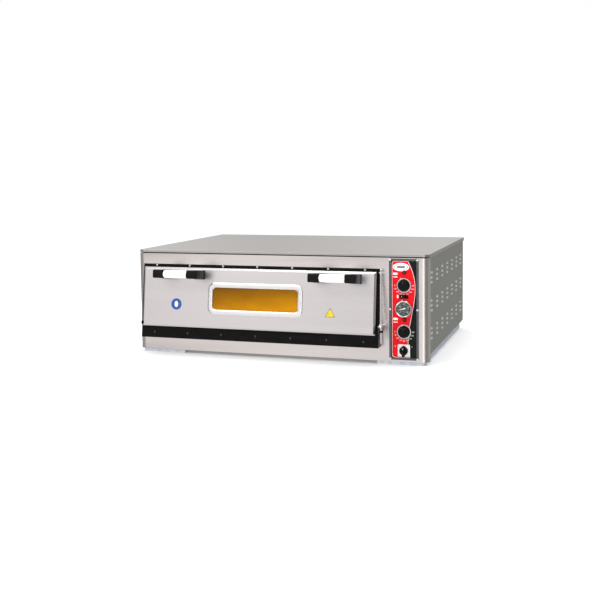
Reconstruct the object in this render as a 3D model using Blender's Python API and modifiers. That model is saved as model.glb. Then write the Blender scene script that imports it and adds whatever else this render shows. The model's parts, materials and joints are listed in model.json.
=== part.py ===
"""Single-deck electric pizza oven: stainless casing, black mouth frame, drop-down door and control column.

Units are metres, +Z is up and the front looks along -Y. The origin is at floor level, under the
centre of the whole object. Each object in the collection "deck_oven" is one physical piece.
"""

import math

import bmesh
import bpy
from mathutils import Matrix, Vector

# ---- casing ----
WIDTH = 1.190
DEPTH = 0.880
HEIGHT = 0.415
SHEET = 0.0015
GAP = 0.0003
REAR_REACH = 0.022
FRONT_REACH = 0.11359
Y_FRONT = (FRONT_REACH - DEPTH - REAR_REACH) / 2
Y_BACK = Y_FRONT + DEPTH
HALF = WIDTH / 2
SKIRT_Z = 0.013
FLOOR_Z = 0.036
FASCIA_TOP = 0.402
CORNER_R = 0.025
RETURN_Y = Y_FRONT + 0.032
SIDE_X = 0.5915
COVER_LIP = 0.015
FRONT_LIP = 0.009
TRAY_X = 0.586
TRAY_H = 0.024
FOOT_WIDTH = 0.180
FOOT_EDGE = 0.577
FOOT_INSET = 0.006

# ---- louvres in the right side panel ----
LOUVRE_START = 0.071
LOUVRE_PITCH = 0.1203
LOUVRE_COLUMNS = 7
LOUVRE_TOP_Z = 0.343
LOUVRE_ROW = 0.0184
LOUVRE_GROUP = 0.1055
LOUVRE_LENGTH = 0.034
LOUVRE_HEIGHT = 0.007
LOUVRE_RISE = 0.003

# ---- mouth and chamber ----
MOUTH_X = (-0.567, 0.413)
MOUTH_Z = (0.066, 0.360)
MOUTH_TOP_PROUD = 0.003
MOUTH_BOTTOM_PROUD = 0.040
MOUTH_BACK = 0.0255
MOUTH_WALL = 0.002
CENTRE_X = -0.077
THROAT_HALF = 0.446
THROAT_Z = (0.152, 0.318)
TILT = math.atan2(MOUTH_BOTTOM_PROUD - MOUTH_TOP_PROUD, MOUTH_Z[1] - MOUTH_Z[0])
SCREWS_ACROSS = 7
SCREW_START = 0.058
SCREW_R = 0.004
SCREW_H = 0.002

LINER_HALF = 0.460
LINER_Z = (0.110, 0.345)
LINER_Y = (Y_FRONT + 0.0258, Y_FRONT + 0.726)
STONE_TOP = 0.150
STONE_THICK = 0.016
STONE_GAP = 0.003
STONE_Y = (Y_FRONT + 0.050, Y_FRONT + 0.700)
RAIL_SIZE = 0.022
HEATER_R = 0.00425
HEATER_Z = {"top_heater": 0.333, "bottom_heater": 0.1205}
HEATER_RUNS = 4
HEATER_FIRST = Y_FRONT + 0.110
HEATER_SPACING = 0.165
HEATER_TURN_X = 0.400
HEATER_END_X = 0.462
WRAP_BACK = Y_FRONT + 0.800
WALL_X = 0.431

# ---- door, in the frame of its hinge: X along the pin, Z up the door, -Y out of the door ----
DOOR_HALF = 0.479
DOOR_LOW = -0.012
DOOR_HIGH = 0.224
DOOR_OUT = 0.020
DOOR_IN = 0.008
DOOR_CHAMFER = 0.007
HINGE_OUT = 0.014
HINGE_Z = 0.125
AXLE_R = 0.004
LUG_GAP = 0.0015
LUG_THICK = 0.0035
LUG_HALF = 0.0065
PAN_HALF = 0.440
PAN_LOW = 0.0345
PAN_HIGH = 0.1825
PAN_DEEP = -0.024
PAN_SHEET = 0.0012
SEAL_LOW = 0.015
SEAL_HIGH = 0.206
SEAL_WIDTH = 0.0125
SEAL_HALF = 0.462
WINDOW_V = 0.105
GLASS_SIZE = (0.350, 0.086)
BEZEL_SIZE = (0.390, 0.130)
HANDLE_V = 0.196
HANDLE_X = 0.318
HANDLE_SHIFT = 0.012
HANDLE_LENGTH = 0.186
HANDLE_BLOCK = 0.043
HANDLE_TALL = 0.033
HANDLE_STAND = 0.068
HANDLE_ROD_R = 0.005
GRIP_R = 0.016

# ---- balance rod beside the door ----
ROD_X = 0.425
ROD_R = 0.0045
ROD_LOW = -0.040
ROD_HIGH = 0.236
ROD_LEAN = math.radians(1.5)
CRANK_X = (0.4115, 0.4160)
CRANK_LENGTH = 0.021
GUIDE_V = (0.030, 0.222)

# ---- control column ----
PANEL_X = 0.5015
PANEL_SIZE = (0.111, 0.379)
PANEL_Z = 0.2095
PANEL_BORDER = 0.008
PLATE_FRONT = Y_FRONT - 0.0018
FRAME_FRONT = Y_FRONT - 0.0048
KNOB_Z = {"upper": 0.300, "lower": 0.126}
PILOT_Z = {"upper": 0.348, "lower": 0.171}
ROCKER_Z = 0.258
GAUGE_Z = 0.213
CAM_Z = 0.056
CAM_PLATE = 0.046
KNOB_R = 0.0225
RING_R = 0.028
GAUGE_R = 0.0315
NEEDLE_REST = math.radians(-106)
ROCKER_TILT = math.radians(10)
GLAND_X = 0.500
GLAND_Z = 0.105
LAMP_Y = Y_FRONT + 0.220
LAMP_Z = 0.285
BULBS = {"upper": (Y_FRONT + 0.400, 0.328), "lower": (Y_FRONT + 0.430, 0.1225)}

FRONT_TURN = (math.radians(90), 0, 0)


def clear_scene():
    for thing in list(bpy.data.objects):
        bpy.data.objects.remove(thing, do_unlink=True)


def new_collection(name):
    made = bpy.data.collections.new(name)
    bpy.context.scene.collection.children.link(made)
    return made


clear_scene()
PARTS = new_collection("deck_oven")
CUTTERS = new_collection("cutters")


def look(name, colour, roughness, metallic):
    made = bpy.data.materials.new(name)
    made.use_nodes = True
    shader = made.node_tree.nodes["Principled BSDF"]
    shader.inputs["Base Color"].default_value = (*colour, 1)
    shader.inputs["Roughness"].default_value = roughness
    shader.inputs["Metallic"].default_value = metallic
    return made


STAINLESS = look("brushed_stainless", (0.62, 0.60, 0.59), 0.34, 1)
DULL_STEEL = look("dull_stainless", (0.42, 0.42, 0.40), 0.45, 1)
GALVANISED = look("galvanised", (0.48, 0.51, 0.55), 0.5, 1)
CHROME = look("chrome", (0.86, 0.86, 0.87), 0.08, 1)
BLACK_ENAMEL = look("black_enamel", (0.012, 0.012, 0.013), 0.35, 0)
BLACK_PLASTIC = look("black_plastic", (0.018, 0.018, 0.018), 0.4, 0)
WHITE_GRIP = look("white_porcelain", (0.88, 0.87, 0.84), 0.2, 0)
RED_PANEL = look("red_panel", (0.72, 0.01, 0.02), 0.35, 0)
AMBER = look("amber_glass", (0.55, 0.24, 0.01), 0.1, 0)
CLEAR = look("clear_glass", (0.85, 0.88, 0.88), 0.05, 0)
DIAL = look("dial_green", (0.05, 0.09, 0.07), 0.5, 0)
WHITE_PLASTIC = look("white_plastic", (0.85, 0.85, 0.85), 0.4, 0)
STONE = look("fireclay", (0.62, 0.50, 0.38), 0.9, 0)
WOOL = look("mineral_wool", (0.62, 0.58, 0.42), 0.95, 0)
HEATER = look("heater_sheath", (0.16, 0.15, 0.14), 0.5, 1)
ROPE = look("seal_rope", (0.55, 0.53, 0.50), 0.9, 0)
COPPER = look("copper_tube", (0.72, 0.36, 0.20), 0.3, 1)
CREAM = look("ceramic", (0.78, 0.74, 0.66), 0.5, 0)
AMBER_LENS = look("dark_lens", (0.10, 0.015, 0.01), 0.15, 0)


def place(name, mesh, finish, location=(0, 0, 0), rotation=(0, 0, 0), parent=None, group=None):
    made = bpy.data.objects.new(name, mesh)
    made.location = location
    made.rotation_euler = rotation
    made.parent = parent
    mesh.materials.append(finish)
    (group or PARTS).objects.link(made)
    if group is CUTTERS:
        made.hide_render = True
        made.display_type = "WIRE"
    return made


def mesh_from(bm, name):
    bmesh.ops.recalc_face_normals(bm, faces=bm.faces)
    mesh = bpy.data.meshes.new(name)
    bm.to_mesh(mesh)
    bm.free()
    return mesh


def cube_between(bm, low, high):
    """A box from its lowest to its highest corner, added to bm. Gives back its vertices."""
    middle = [(a + b) / 2 for a, b in zip(low, high)]
    size = [b - a for a, b in zip(low, high)]
    made = bmesh.ops.create_cube(bm, size=1, matrix=Matrix.Translation(middle) @ Matrix.Diagonal((*size, 1)))
    return made["verts"]


def block(name, low, high, finish, bevel=0.0, segments=2, parent=None, group=None):
    bm = bmesh.new()
    cube_between(bm, low, high)
    made = place(name, mesh_from(bm, name), finish, parent=parent, group=group)
    if bevel:
        edge = made.modifiers.new("edges", "BEVEL")
        edge.width = bevel
        edge.segments = segments
    return made


def round_block(name, low, high, radius, axis, finish, segments=4, parent=None, group=None):
    """A box whose four edges along one axis are rounded."""
    bm = bmesh.new()
    cube_between(bm, low, high)
    others = [i for i in range(3) if i != axis]
    along = [e for e in bm.edges if all(abs(e.verts[0].co[i] - e.verts[1].co[i]) < 1e-7 for i in others)]
    bmesh.ops.bevel(bm, geom=along, offset=radius, segments=segments, affect="EDGES", profile=0.5)
    return place(name, mesh_from(bm, name), finish, parent=parent, group=group)


def add_rod(bm, radius, start, end, sides=24):
    """A closed cylinder between two points, added to bm."""
    start, end = Vector(start), Vector(end)
    way = end - start
    turn = Vector((0, 0, 1)).rotation_difference(way).to_matrix().to_4x4()
    middle = Matrix.Translation((start + end) / 2) @ turn
    bmesh.ops.create_cone(
        bm, cap_ends=True, segments=sides, radius1=radius, radius2=radius, depth=way.length, matrix=middle
    )


def rods(name, radius, spans, finish, sides=24, parent=None, group=None):
    """Cylinders of one radius, each given as (start, end)."""
    bm = bmesh.new()
    for start, end in spans:
        add_rod(bm, radius, start, end, sides)
    return place(name, mesh_from(bm, name), finish, parent=parent, group=group)


def turned(
    name, profile, finish, location, closed=False, sides=32, rotation=FRONT_TURN, parent=None, group=None
):
    """A turned piece: the profile's (radius, height) points run down its outer side; height faces front."""
    bm = bmesh.new()
    points = [bm.verts.new((r, 0, h)) for r, h in profile]
    ends = zip(points, points[1:] + points[:1]) if closed else zip(points, points[1:])
    for a, b in ends:
        bm.edges.new((a, b))
    mesh = bpy.data.meshes.new(name)
    bm.to_mesh(mesh)
    bm.free()
    made = place(name, mesh, finish, location=location, rotation=rotation, parent=parent, group=group)
    spin = made.modifiers.new("turn", "SCREW")
    spin.steps = spin.render_steps = sides
    spin.use_merge_vertices = True
    spin.merge_threshold = 0.00001
    spin.use_smooth_shade = True
    return made


def bent_sheet(name, outline, along, thickness, finish, parent=None):
    """A folded sheet: an open outline of points, swept along a vector, given a thickness inwards."""
    bm = bmesh.new()
    points = [bm.verts.new(p) for p in outline]
    edges = [bm.edges.new(pair) for pair in zip(points, points[1:])]
    swept = bmesh.ops.extrude_edge_only(bm, edges=edges)["geom"]
    moved = [v for v in swept if isinstance(v, bmesh.types.BMVert)]
    bmesh.ops.translate(bm, verts=moved, vec=along)
    made = place(name, mesh_from(bm, name), finish, parent=parent)
    thicken(made, thickness)
    return made


def thicken(made, thickness):
    """Gives a sheet its thickness, on its inner side."""
    wall = made.modifiers.new("sheet", "SOLIDIFY")
    wall.thickness = thickness
    wall.offset = -1
    wall.use_even_offset = True


def open_shell(name, low, high, open_sides, thickness, finish, parent=None):
    """A sheet box with some sides left open, each given by the direction that it faces."""
    bm = bmesh.new()
    cube_between(bm, low, high)
    bmesh.ops.recalc_face_normals(bm, faces=bm.faces)
    facing = [f for f in bm.faces if any(f.normal.dot(Vector(side)) > 0.9 for side in open_sides)]
    bmesh.ops.delete(bm, geom=facing, context="FACES_ONLY")
    made = place(name, mesh_from(bm, name), finish, parent=parent)
    thicken(made, thickness)
    return made


def combine(target, tool, operation):
    step = target.modifiers.new(operation.lower() + "_" + tool.name, "BOOLEAN")
    step.operation = operation
    step.object = tool
    step.solver = "EXACT"


def cut(target, tool):
    combine(target, tool, "DIFFERENCE")


def join(target, tool):
    combine(target, tool, "UNION")


def tube(name, points, radius, finish, radii=None, resolution=2):
    """A round tube along a row of points, as a curve with filled caps."""
    curve = bpy.data.curves.new(name, "CURVE")
    curve.dimensions = "3D"
    curve.bevel_depth = radius
    curve.bevel_resolution = resolution
    curve.use_fill_caps = True
    line = curve.splines.new("POLY")
    line.points.add(len(points) - 1)
    for i, point in enumerate(points):
        line.points[i].co = (*point, 1)
        line.points[i].radius = radii[i] if radii else 1
    made = bpy.data.objects.new(name, curve)
    curve.materials.append(finish)
    PARTS.objects.link(made)
    return made


def arc(centre, radius, start, end, steps):
    """Points of an arc in the XY plane, angles in degrees."""
    turns = [math.radians(start + (end - start) * i / steps) for i in range(steps + 1)]
    return [(centre[0] + radius * math.cos(a), centre[1] + radius * math.sin(a)) for a in turns]


# ---- casing ----


def make_base_tray():
    low = (-TRAY_X, Y_FRONT + CORNER_R + 0.005, FLOOR_Z)
    high = (TRAY_X, Y_BACK - 0.004, FLOOR_Z + TRAY_H)
    open_shell("base_tray", low, high, [(0, 0, 1), (0, -1, 0)], SHEET, DULL_STEEL)


def make_foot_rail(name, side):
    outer, inner = side * FOOT_EDGE, side * (FOOT_EDGE - FOOT_WIDTH)
    low = (min(outer, inner), Y_FRONT + FOOT_INSET, 0)
    high = (max(outer, inner), Y_BACK - FOOT_INSET, FLOOR_Z - GAP)
    open_shell(name, low, high, [(0, 0, 1)], 0.002, GALVANISED)


def make_side_panel(name, side):
    """Flat sheet with its top edge folded inwards."""
    start = RETURN_Y + 0.001
    top = HEIGHT - 0.010
    outline = [
        (side * SIDE_X, start, FLOOR_Z),
        (side * SIDE_X, start, top),
        (side * (SIDE_X - 0.013), start, top),
    ]
    if side > 0:
        outline.reverse()
    return bent_sheet(name, outline, (0, Y_BACK - 0.0025 - start, 0), SHEET, DULL_STEEL)


def louvre_centres():
    for group in range(3):
        for row in range(3):
            for column in range(LOUVRE_COLUMNS):
                y = Y_FRONT + LOUVRE_START + LOUVRE_PITCH * column
                yield y, LOUVRE_TOP_Z - LOUVRE_GROUP * group - LOUVRE_ROW * row


def make_louvres(panel):
    """Pressed louvres: each is a wedge whose lower edge stands out of the sheet."""
    bm = bmesh.new()
    for y, z in louvre_centres():
        low = (SIDE_X - 0.0008, y - LOUVRE_LENGTH / 2, z - LOUVRE_HEIGHT / 2)
        high = (SIDE_X + LOUVRE_RISE, y + LOUVRE_LENGTH / 2, z + LOUVRE_HEIGHT / 2)
        for vert in cube_between(bm, low, high):
            if vert.co.x > SIDE_X and vert.co.z > z:
                vert.co.x = SIDE_X + 0.0004
    wedges = place("louvre_wedges", mesh_from(bm, "louvre_wedges"), DULL_STEEL, group=CUTTERS)
    join(panel, wedges)


def make_back_panel():
    low = (-0.589, Y_BACK - SHEET, FLOOR_Z + 0.002)
    high = (0.589, Y_BACK, HEIGHT - 0.0105)
    panel = block("back_panel", low, high, DULL_STEEL)
    hole = rods(
        "gland_hole", 0.0105, [((GLAND_X, Y_BACK - 0.01, GLAND_Z), (GLAND_X, Y_BACK + 0.01, GLAND_Z))],
        DULL_STEEL, group=CUTTERS,
    )
    cut(panel, hole)


def make_top_cover():
    """Lid sheet: front corners rounded, lips over both sides and the rear, and a shallow lip in front."""
    low = (-HALF, Y_FRONT - 0.0005, HEIGHT - COVER_LIP)
    high = (HALF, Y_BACK + 0.0020, HEIGHT)
    bm = bmesh.new()
    cube_between(bm, low, high)
    corners = [e for e in bm.edges if all(v.co.y < 0 for v in e.verts) and e.verts[0].co.x == e.verts[1].co.x]
    bmesh.ops.bevel(bm, geom=corners, offset=CORNER_R, segments=6, affect="EDGES", profile=0.5)
    bmesh.ops.recalc_face_normals(bm, faces=bm.faces)
    bmesh.ops.delete(bm, geom=[f for f in bm.faces if f.normal.z < -0.9], context="FACES_ONLY")
    cover = place("top_cover", mesh_from(bm, "top_cover"), STAINLESS)
    thicken(cover, SHEET)
    relief = block(
        "front_lip_relief", (-HALF - 0.01, Y_FRONT - 0.02, HEIGHT - 0.03),
        (HALF + 0.01, RETURN_Y + 0.0005, HEIGHT - FRONT_LIP), STAINLESS, group=CUTTERS,
    )
    cut(cover, relief)


def make_front_fascia():
    """Front sheet with rounded vertical corners that turn back to meet the side panels."""
    left = arc((-HALF + CORNER_R, Y_FRONT + CORNER_R), CORNER_R, 180, 270, 6)
    right = arc((HALF - CORNER_R, Y_FRONT + CORNER_R), CORNER_R, 270, 360, 6)
    plan = [(-HALF, RETURN_Y)] + left + right + [(HALF, RETURN_Y)]
    outline = [(x, y, SKIRT_Z) for x, y in plan]
    fascia = bent_sheet("front_fascia", outline, (0, 0, FASCIA_TOP - SKIRT_Z), SHEET, STAINLESS)
    mouth = block(
        "mouth_opening", (MOUTH_X[0], Y_FRONT - 0.02, MOUTH_Z[0]), (MOUTH_X[1], Y_FRONT + 0.02, MOUTH_Z[1]),
        STAINLESS, group=CUTTERS,
    )
    panel = block(
        "panel_opening", (PANEL_X - 0.0455, Y_FRONT - 0.02, PANEL_Z - 0.182),
        (PANEL_X + 0.0455, Y_FRONT + 0.02, PANEL_Z + 0.182), STAINLESS, group=CUTTERS,
    )
    cut(fascia, mouth)
    cut(fascia, panel)


# ---- mouth frame ----


def wedge(name, inset, back, finish, group=None):
    """The mouth frame's outer form: a prism whose front leans back from bottom to top."""
    bm = bmesh.new()
    low = (MOUTH_X[0] + inset, Y_FRONT, MOUTH_Z[0] + inset)
    high = (MOUTH_X[1] - inset, Y_FRONT + back, MOUTH_Z[1] - inset)
    for vert in cube_between(bm, low, high):
        if vert.co.y < Y_FRONT + back / 2:
            vert.co.y = plane_y(vert.co.z) + (inset - GAP) / math.cos(TILT)
    return place(name, mesh_from(bm, name), finish, group=group)


def plane_y(z):
    """Where the mouth frame's front face is at a height."""
    return Y_FRONT - MOUTH_TOP_PROUD - (MOUTH_Z[1] - z) * math.tan(TILT)


def front_screws(name, places):
    """Round screw heads standing on the leaning front face, given by (x, z)."""
    out = Vector((0, -math.cos(TILT), math.sin(TILT)))
    spans = []
    for x, z in places:
        foot = Vector((x, plane_y(z), z))
        spans.append((foot - out * 0.0010, foot + out * SCREW_H))
    return rods(name, SCREW_R, spans, BLACK_ENAMEL, sides=10, group=CUTTERS)


def mouth_screw_places():
    step = (MOUTH_X[1] - MOUTH_X[0] - 2 * SCREW_START) / (SCREWS_ACROSS - 1)
    for i in range(SCREWS_ACROSS):
        x = MOUTH_X[0] + SCREW_START + step * i
        yield x, MOUTH_Z[1] - 0.0058
        yield x, MOUTH_Z[0] + 0.022


def make_mouth_frame():
    frame = wedge("mouth_frame", GAP, MOUTH_BACK, BLACK_ENAMEL)
    pocket = wedge("mouth_pocket", GAP + MOUTH_WALL, 0.040, BLACK_ENAMEL, group=CUTTERS)
    throat_low = (CENTRE_X - THROAT_HALF, Y_FRONT - 0.10, THROAT_Z[0])
    throat_high = (CENTRE_X + THROAT_HALF, Y_FRONT + 0.10, THROAT_Z[1])
    wall_low = (throat_low[0] - MOUTH_WALL, Y_FRONT - 0.10, THROAT_Z[0] - MOUTH_WALL)
    wall_high = (throat_high[0] + MOUTH_WALL, Y_FRONT + 0.10, THROAT_Z[1] + MOUTH_WALL)
    keep = block("throat_walls", wall_low, wall_high, BLACK_ENAMEL, group=CUTTERS)
    cut(pocket, keep)
    cut(frame, pocket)
    cut(frame, block("throat", throat_low, throat_high, BLACK_ENAMEL, group=CUTTERS))
    join(frame, front_screws("mouth_screws", mouth_screw_places()))
    for side in (-1, 1):
        join(frame, make_hinge_lug(side))
    cut(frame, rods("axle_clearance", AXLE_R + 0.0004, [((-0.7, 0, 0), (0.7, 0, 0))], BLACK_ENAMEL,
                    parent=HINGE, group=CUTTERS))


def make_hinge_lug(side):
    """Ear that carries one end of the door's axle, in the hinge's frame."""
    inner = CENTRE_X + side * (DOOR_HALF + LUG_GAP)
    outer = inner + side * LUG_THICK
    low = (min(inner, outer), door_y(0.0195), -LUG_HALF)
    high = (max(inner, outer), door_y(-0.0008), LUG_HALF)
    name = "hinge_lug_right" if side > 0 else "hinge_lug_left"
    return round_block(name, low, high, 0.003, 0, BLACK_ENAMEL, parent=HINGE, group=CUTTERS)


# ---- chamber ----


def make_chamber_liner():
    """Sheet box, open in front, whose front edge turns in to meet the throat."""
    low = (CENTRE_X - LINER_HALF, LINER_Y[0], LINER_Z[0])
    high = (CENTRE_X + LINER_HALF, LINER_Y[1], LINER_Z[1])
    bm = bmesh.new()
    cube_between(bm, low, high)
    bmesh.ops.recalc_face_normals(bm, faces=bm.faces)
    bmesh.ops.delete(bm, geom=[f for f in bm.faces if f.normal.y < -0.9], context="FACES_ONLY")
    rim = [e for e in bm.edges if e.is_boundary]
    moved = bmesh.ops.extrude_edge_only(bm, edges=rim)["geom"]
    for vert in (v for v in moved if isinstance(v, bmesh.types.BMVert)):
        vert.co.x = CENTRE_X + math.copysign(THROAT_HALF + 0.001, vert.co.x - CENTRE_X)
        vert.co.z = THROAT_Z[0] - 0.001 if vert.co.z < 0.2 else THROAT_Z[1] + 0.001
    liner = place("chamber_liner", mesh_from(bm, "chamber_liner"), DULL_STEEL)
    thicken(liner, 0.0012)
    cut(liner, SERVICES)


def make_services_cutter():
    """The holes through the chamber's right wall: heater ends, temperature bulbs and the lamp."""
    bm = bmesh.new()
    start, end = CENTRE_X + LINER_HALF - 0.02, WALL_X + 0.02
    last = HEATER_FIRST + HEATER_SPACING * (HEATER_RUNS - 1)
    for z in HEATER_Z.values():
        for y in (HEATER_FIRST, last):
            add_rod(bm, HEATER_R + 0.002, (start, y, z), (end, y, z), 12)
    for y, z in BULBS.values():
        add_rod(bm, 0.0045, (start, y, z), (end, y, z), 12)
    add_rod(bm, 0.0205, (start, LAMP_Y, LAMP_Z), (end, LAMP_Y, LAMP_Z), 20)
    return place("services", mesh_from(bm, "services"), DULL_STEEL, group=CUTTERS)


def make_deck_stones():
    middle = CENTRE_X
    reach = LINER_HALF - 0.006
    for name, low, high in (
        ("deck_stone_left", middle - reach, middle - STONE_GAP / 2),
        ("deck_stone_right", middle + STONE_GAP / 2, middle + reach),
    ):
        block(name, (low, STONE_Y[0], STONE_TOP - STONE_THICK), (high, STONE_Y[1], STONE_TOP), STONE,
              bevel=0.002, segments=1)


def make_stone_rails():
    """Angle sections across the chamber that the stones lie on, clear of the heater below."""
    top = STONE_TOP - STONE_THICK - GAP
    reach = LINER_HALF - 0.004
    for name, y, way in (("stone_rail_front", STONE_Y[0], 1), ("stone_rail_rear", STONE_Y[1], -1)):
        x = CENTRE_X - reach
        outline = [(x, y, top - RAIL_SIZE + 0.0005), (x, y, top), (x, y + way * RAIL_SIZE, top)]
        if way < 0:
            outline.reverse()
        bent_sheet(name, outline, (2 * reach, 0, 0), 0.002, DULL_STEEL)


def heater_path(z):
    """Runs across the chamber joined by half-round turns, both ends leaving through the right wall."""
    left = CENTRE_X - HEATER_TURN_X
    right = CENTRE_X + HEATER_TURN_X - 0.05
    radius = HEATER_SPACING / 2
    flat = [(HEATER_END_X, HEATER_FIRST)]
    for run in range(HEATER_RUNS - 1):
        y = HEATER_FIRST + HEATER_SPACING * run + radius
        if run % 2 == 0:
            flat += arc((left + radius, y), radius, 270, 90, 8)
        else:
            flat += arc((right - radius, y), radius, -90, 90, 8)
    flat.append((HEATER_END_X, HEATER_FIRST + HEATER_SPACING * (HEATER_RUNS - 1)))
    return [(x, y, z) for x, y in flat]


def make_heaters():
    for name, z in HEATER_Z.items():
        tube(name, heater_path(z), HEATER_R, HEATER)


def make_insulation():
    front = Y_FRONT + 0.034
    right = WALL_X - 0.0005
    block("insulation_top", (-0.576, front, LINER_Z[1] + 0.0005), (right, WRAP_BACK, 0.400), WOOL)
    low, high = (-0.583, front, FLOOR_Z + SHEET + GAP), (right, WRAP_BACK, LINER_Z[0] - 0.0005)
    block("insulation_bottom", low, high, WOOL)
    wrap = block("insulation_wrap", (-0.583, front, LINER_Z[0]), (right, WRAP_BACK, LINER_Z[1]), WOOL)
    hollow = block(
        "liner_space", (CENTRE_X - LINER_HALF - 0.0005, Y_FRONT, 0.05),
        (CENTRE_X + LINER_HALF + 0.0005, LINER_Y[1] + 0.0005, 0.38), WOOL, group=CUTTERS,
    )
    cut(wrap, hollow)
    cut(wrap, SERVICES)


def make_compartment_wall():
    low = (WALL_X, Y_FRONT + 0.034, FLOOR_Z + SHEET + GAP)
    high = (WALL_X + SHEET, Y_BACK - 0.0065, HEIGHT - 0.003)
    cut(block("compartment_wall", low, high, GALVANISED), SERVICES)


def make_chamber_lamp():
    side = (0, math.radians(-90), 0)
    inner = CENTRE_X + LINER_HALF
    profile = [(0, 0.050), (0.019, 0.050), (0.019, -0.002), (0.014, -0.016), (0, -0.016)]
    turned("lamp_holder", profile, CREAM, (WALL_X, LAMP_Y, LAMP_Z), sides=20, rotation=side)
    dome = [(0, 0.021), (0.010, 0.019), (0.018, 0.013), (0.022, 0.0)]
    dome += [(0.0195, 0.0), (0.016, 0.0105), (0.009, 0.0165), (0, 0.0185)]
    turned("lamp_glass", dome, CLEAR, (inner - 0.0016, LAMP_Y, LAMP_Z), sides=20, rotation=side)


# ---- electrical compartment ----


def make_thermostats():
    for level, z in KNOB_Z.items():
        body = block(
            "thermostat_" + level, (PANEL_X - 0.024, PLATE_FRONT + 0.0022, z - 0.020),
            (PANEL_X + 0.024, PLATE_FRONT + 0.046, z + 0.020), BLACK_PLASTIC, bevel=0.002, segments=1,
        )
        shaft = rods(
            "shaft_" + level, 0.003, [((PANEL_X, PLATE_FRONT + 0.010, z), (PANEL_X, PLATE_FRONT - 0.014, z))],
            CHROME, sides=16, group=CUTTERS,
        )
        join(body, shaft)


def make_capillaries():
    """Thin copper tubes from each thermostat to its bulb, which reaches through the chamber wall."""
    for level, (y, z) in BULBS.items():
        start = Vector((PANEL_X, PLATE_FRONT + 0.0463, KNOB_Z[level]))
        bend = Vector((PANEL_X - 0.02, y - 0.05, z))
        wall = Vector((WALL_X + 0.010, y, z))
        near = start + Vector((0, 0.05, 0))
        route = [start, near] + [near.lerp(bend, t) for t in (0.33, 0.66)] + [bend]
        route += [Vector((WALL_X + 0.03, y - 0.008, z)), wall]
        chamber = CENTRE_X + LINER_HALF
        route += [Vector((chamber - reach, y, z)) for reach in (0.001, 0.002, 0.09)]
        thin, thick = 1.0, 3.0
        radii = [thin] * (len(route) - 2) + [thick] * 2
        tube("capillary_" + level, route, 0.001, COPPER, radii=radii, resolution=1)


def make_rear_services():
    low, high = (0.468, Y_BACK - 0.060, 0.150), (0.552, Y_BACK - 0.030, 0.185)
    block("terminal_block", low, high, CREAM, bevel=0.003)
    outer, bore = 0.010, 0.0055
    body = [
        (0.009, REAR_REACH), (0.0125, REAR_REACH - 0.003), (0.0125, 0.012), (0.0155, 0.0105),
        (0.0155, GAP), (outer, GAP), (outer, -0.0035), (0.0145, -0.0035), (0.0145, -0.009),
        (outer, -0.009), (outer, -0.014), (bore, -0.014), (bore, REAR_REACH),
    ]
    turned("cable_gland", body, BLACK_PLASTIC, (GLAND_X, Y_BACK, GLAND_Z), closed=True, sides=18,
           rotation=(math.radians(-90), 0, 0))


# ---- control column ----


def panel_rect(half_cut, front, back, name, finish, radius, group=None):
    half_w, half_h = PANEL_SIZE[0] / 2 - half_cut, PANEL_SIZE[1] / 2 - half_cut
    low = (PANEL_X - half_w, front, PANEL_Z - half_h)
    high = (PANEL_X + half_w, back, PANEL_Z + half_h)
    return round_block(name, low, high, radius, 1, finish, group=group)


def make_control_panel():
    plate = panel_rect(0.0005, PLATE_FRONT, Y_FRONT - GAP, "control_panel_plate", RED_PANEL, 0.003)
    bm = bmesh.new()
    front, back = PLATE_FRONT - 0.02, Y_FRONT + 0.02
    for z in KNOB_Z.values():
        add_rod(bm, 0.0034, (PANEL_X, front, z), (PANEL_X, back, z), 16)
    for z in PILOT_Z.values():
        add_rod(bm, 0.0056, (PANEL_X + 0.002, front, z), (PANEL_X + 0.002, back, z), 16)
    add_rod(bm, 0.0295, (PANEL_X, front, GAUGE_Z), (PANEL_X, back, GAUGE_Z), 32)
    low = (PANEL_X - 0.0145, front, ROCKER_Z - 0.0061)
    cube_between(bm, low, (PANEL_X + 0.0145, back, ROCKER_Z + 0.0061))
    add_rod(bm, 0.0062, (PANEL_X, front, CAM_Z), (PANEL_X, back, CAM_Z), 20)
    cut(plate, place("panel_holes", mesh_from(bm, "panel_holes"), RED_PANEL, group=CUTTERS))

    frame = panel_rect(0, FRAME_FRONT, PLATE_FRONT - GAP, "control_panel_frame", STAINLESS, 0.004)
    depths = (FRAME_FRONT - 0.01, Y_FRONT)
    cut(frame, panel_rect(PANEL_BORDER, *depths, "frame_window", STAINLESS, 0.002, CUTTERS))
    half_w, half_h = PANEL_SIZE[0] / 2 - PANEL_BORDER / 2, PANEL_SIZE[1] / 2 - PANEL_BORDER / 2
    spans = []
    for side in (-1, 1):
        for level in (-1, 0, 1):
            x, z = PANEL_X + side * half_w, PANEL_Z + level * half_h
            spans.append(((x, FRAME_FRONT + 0.001, z), (x, FRAME_FRONT - 0.0015, z)))
    join(frame, rods("frame_screws", 0.0033, spans, WHITE_PLASTIC, sides=12, group=CUTTERS))


def make_pilot_lamps():
    for level, z in PILOT_Z.items():
        profile = [
            (0, 0.0065), (0.004, 0.0055), (0.0065, 0.0025), (0.0065, GAP),
            (0.0052, GAP), (0.0052, -0.028), (0, -0.028),
        ]
        turned("pilot_lamp_" + level, profile, AMBER_LENS, (PANEL_X + 0.002, PLATE_FRONT, z), sides=20)


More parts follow.
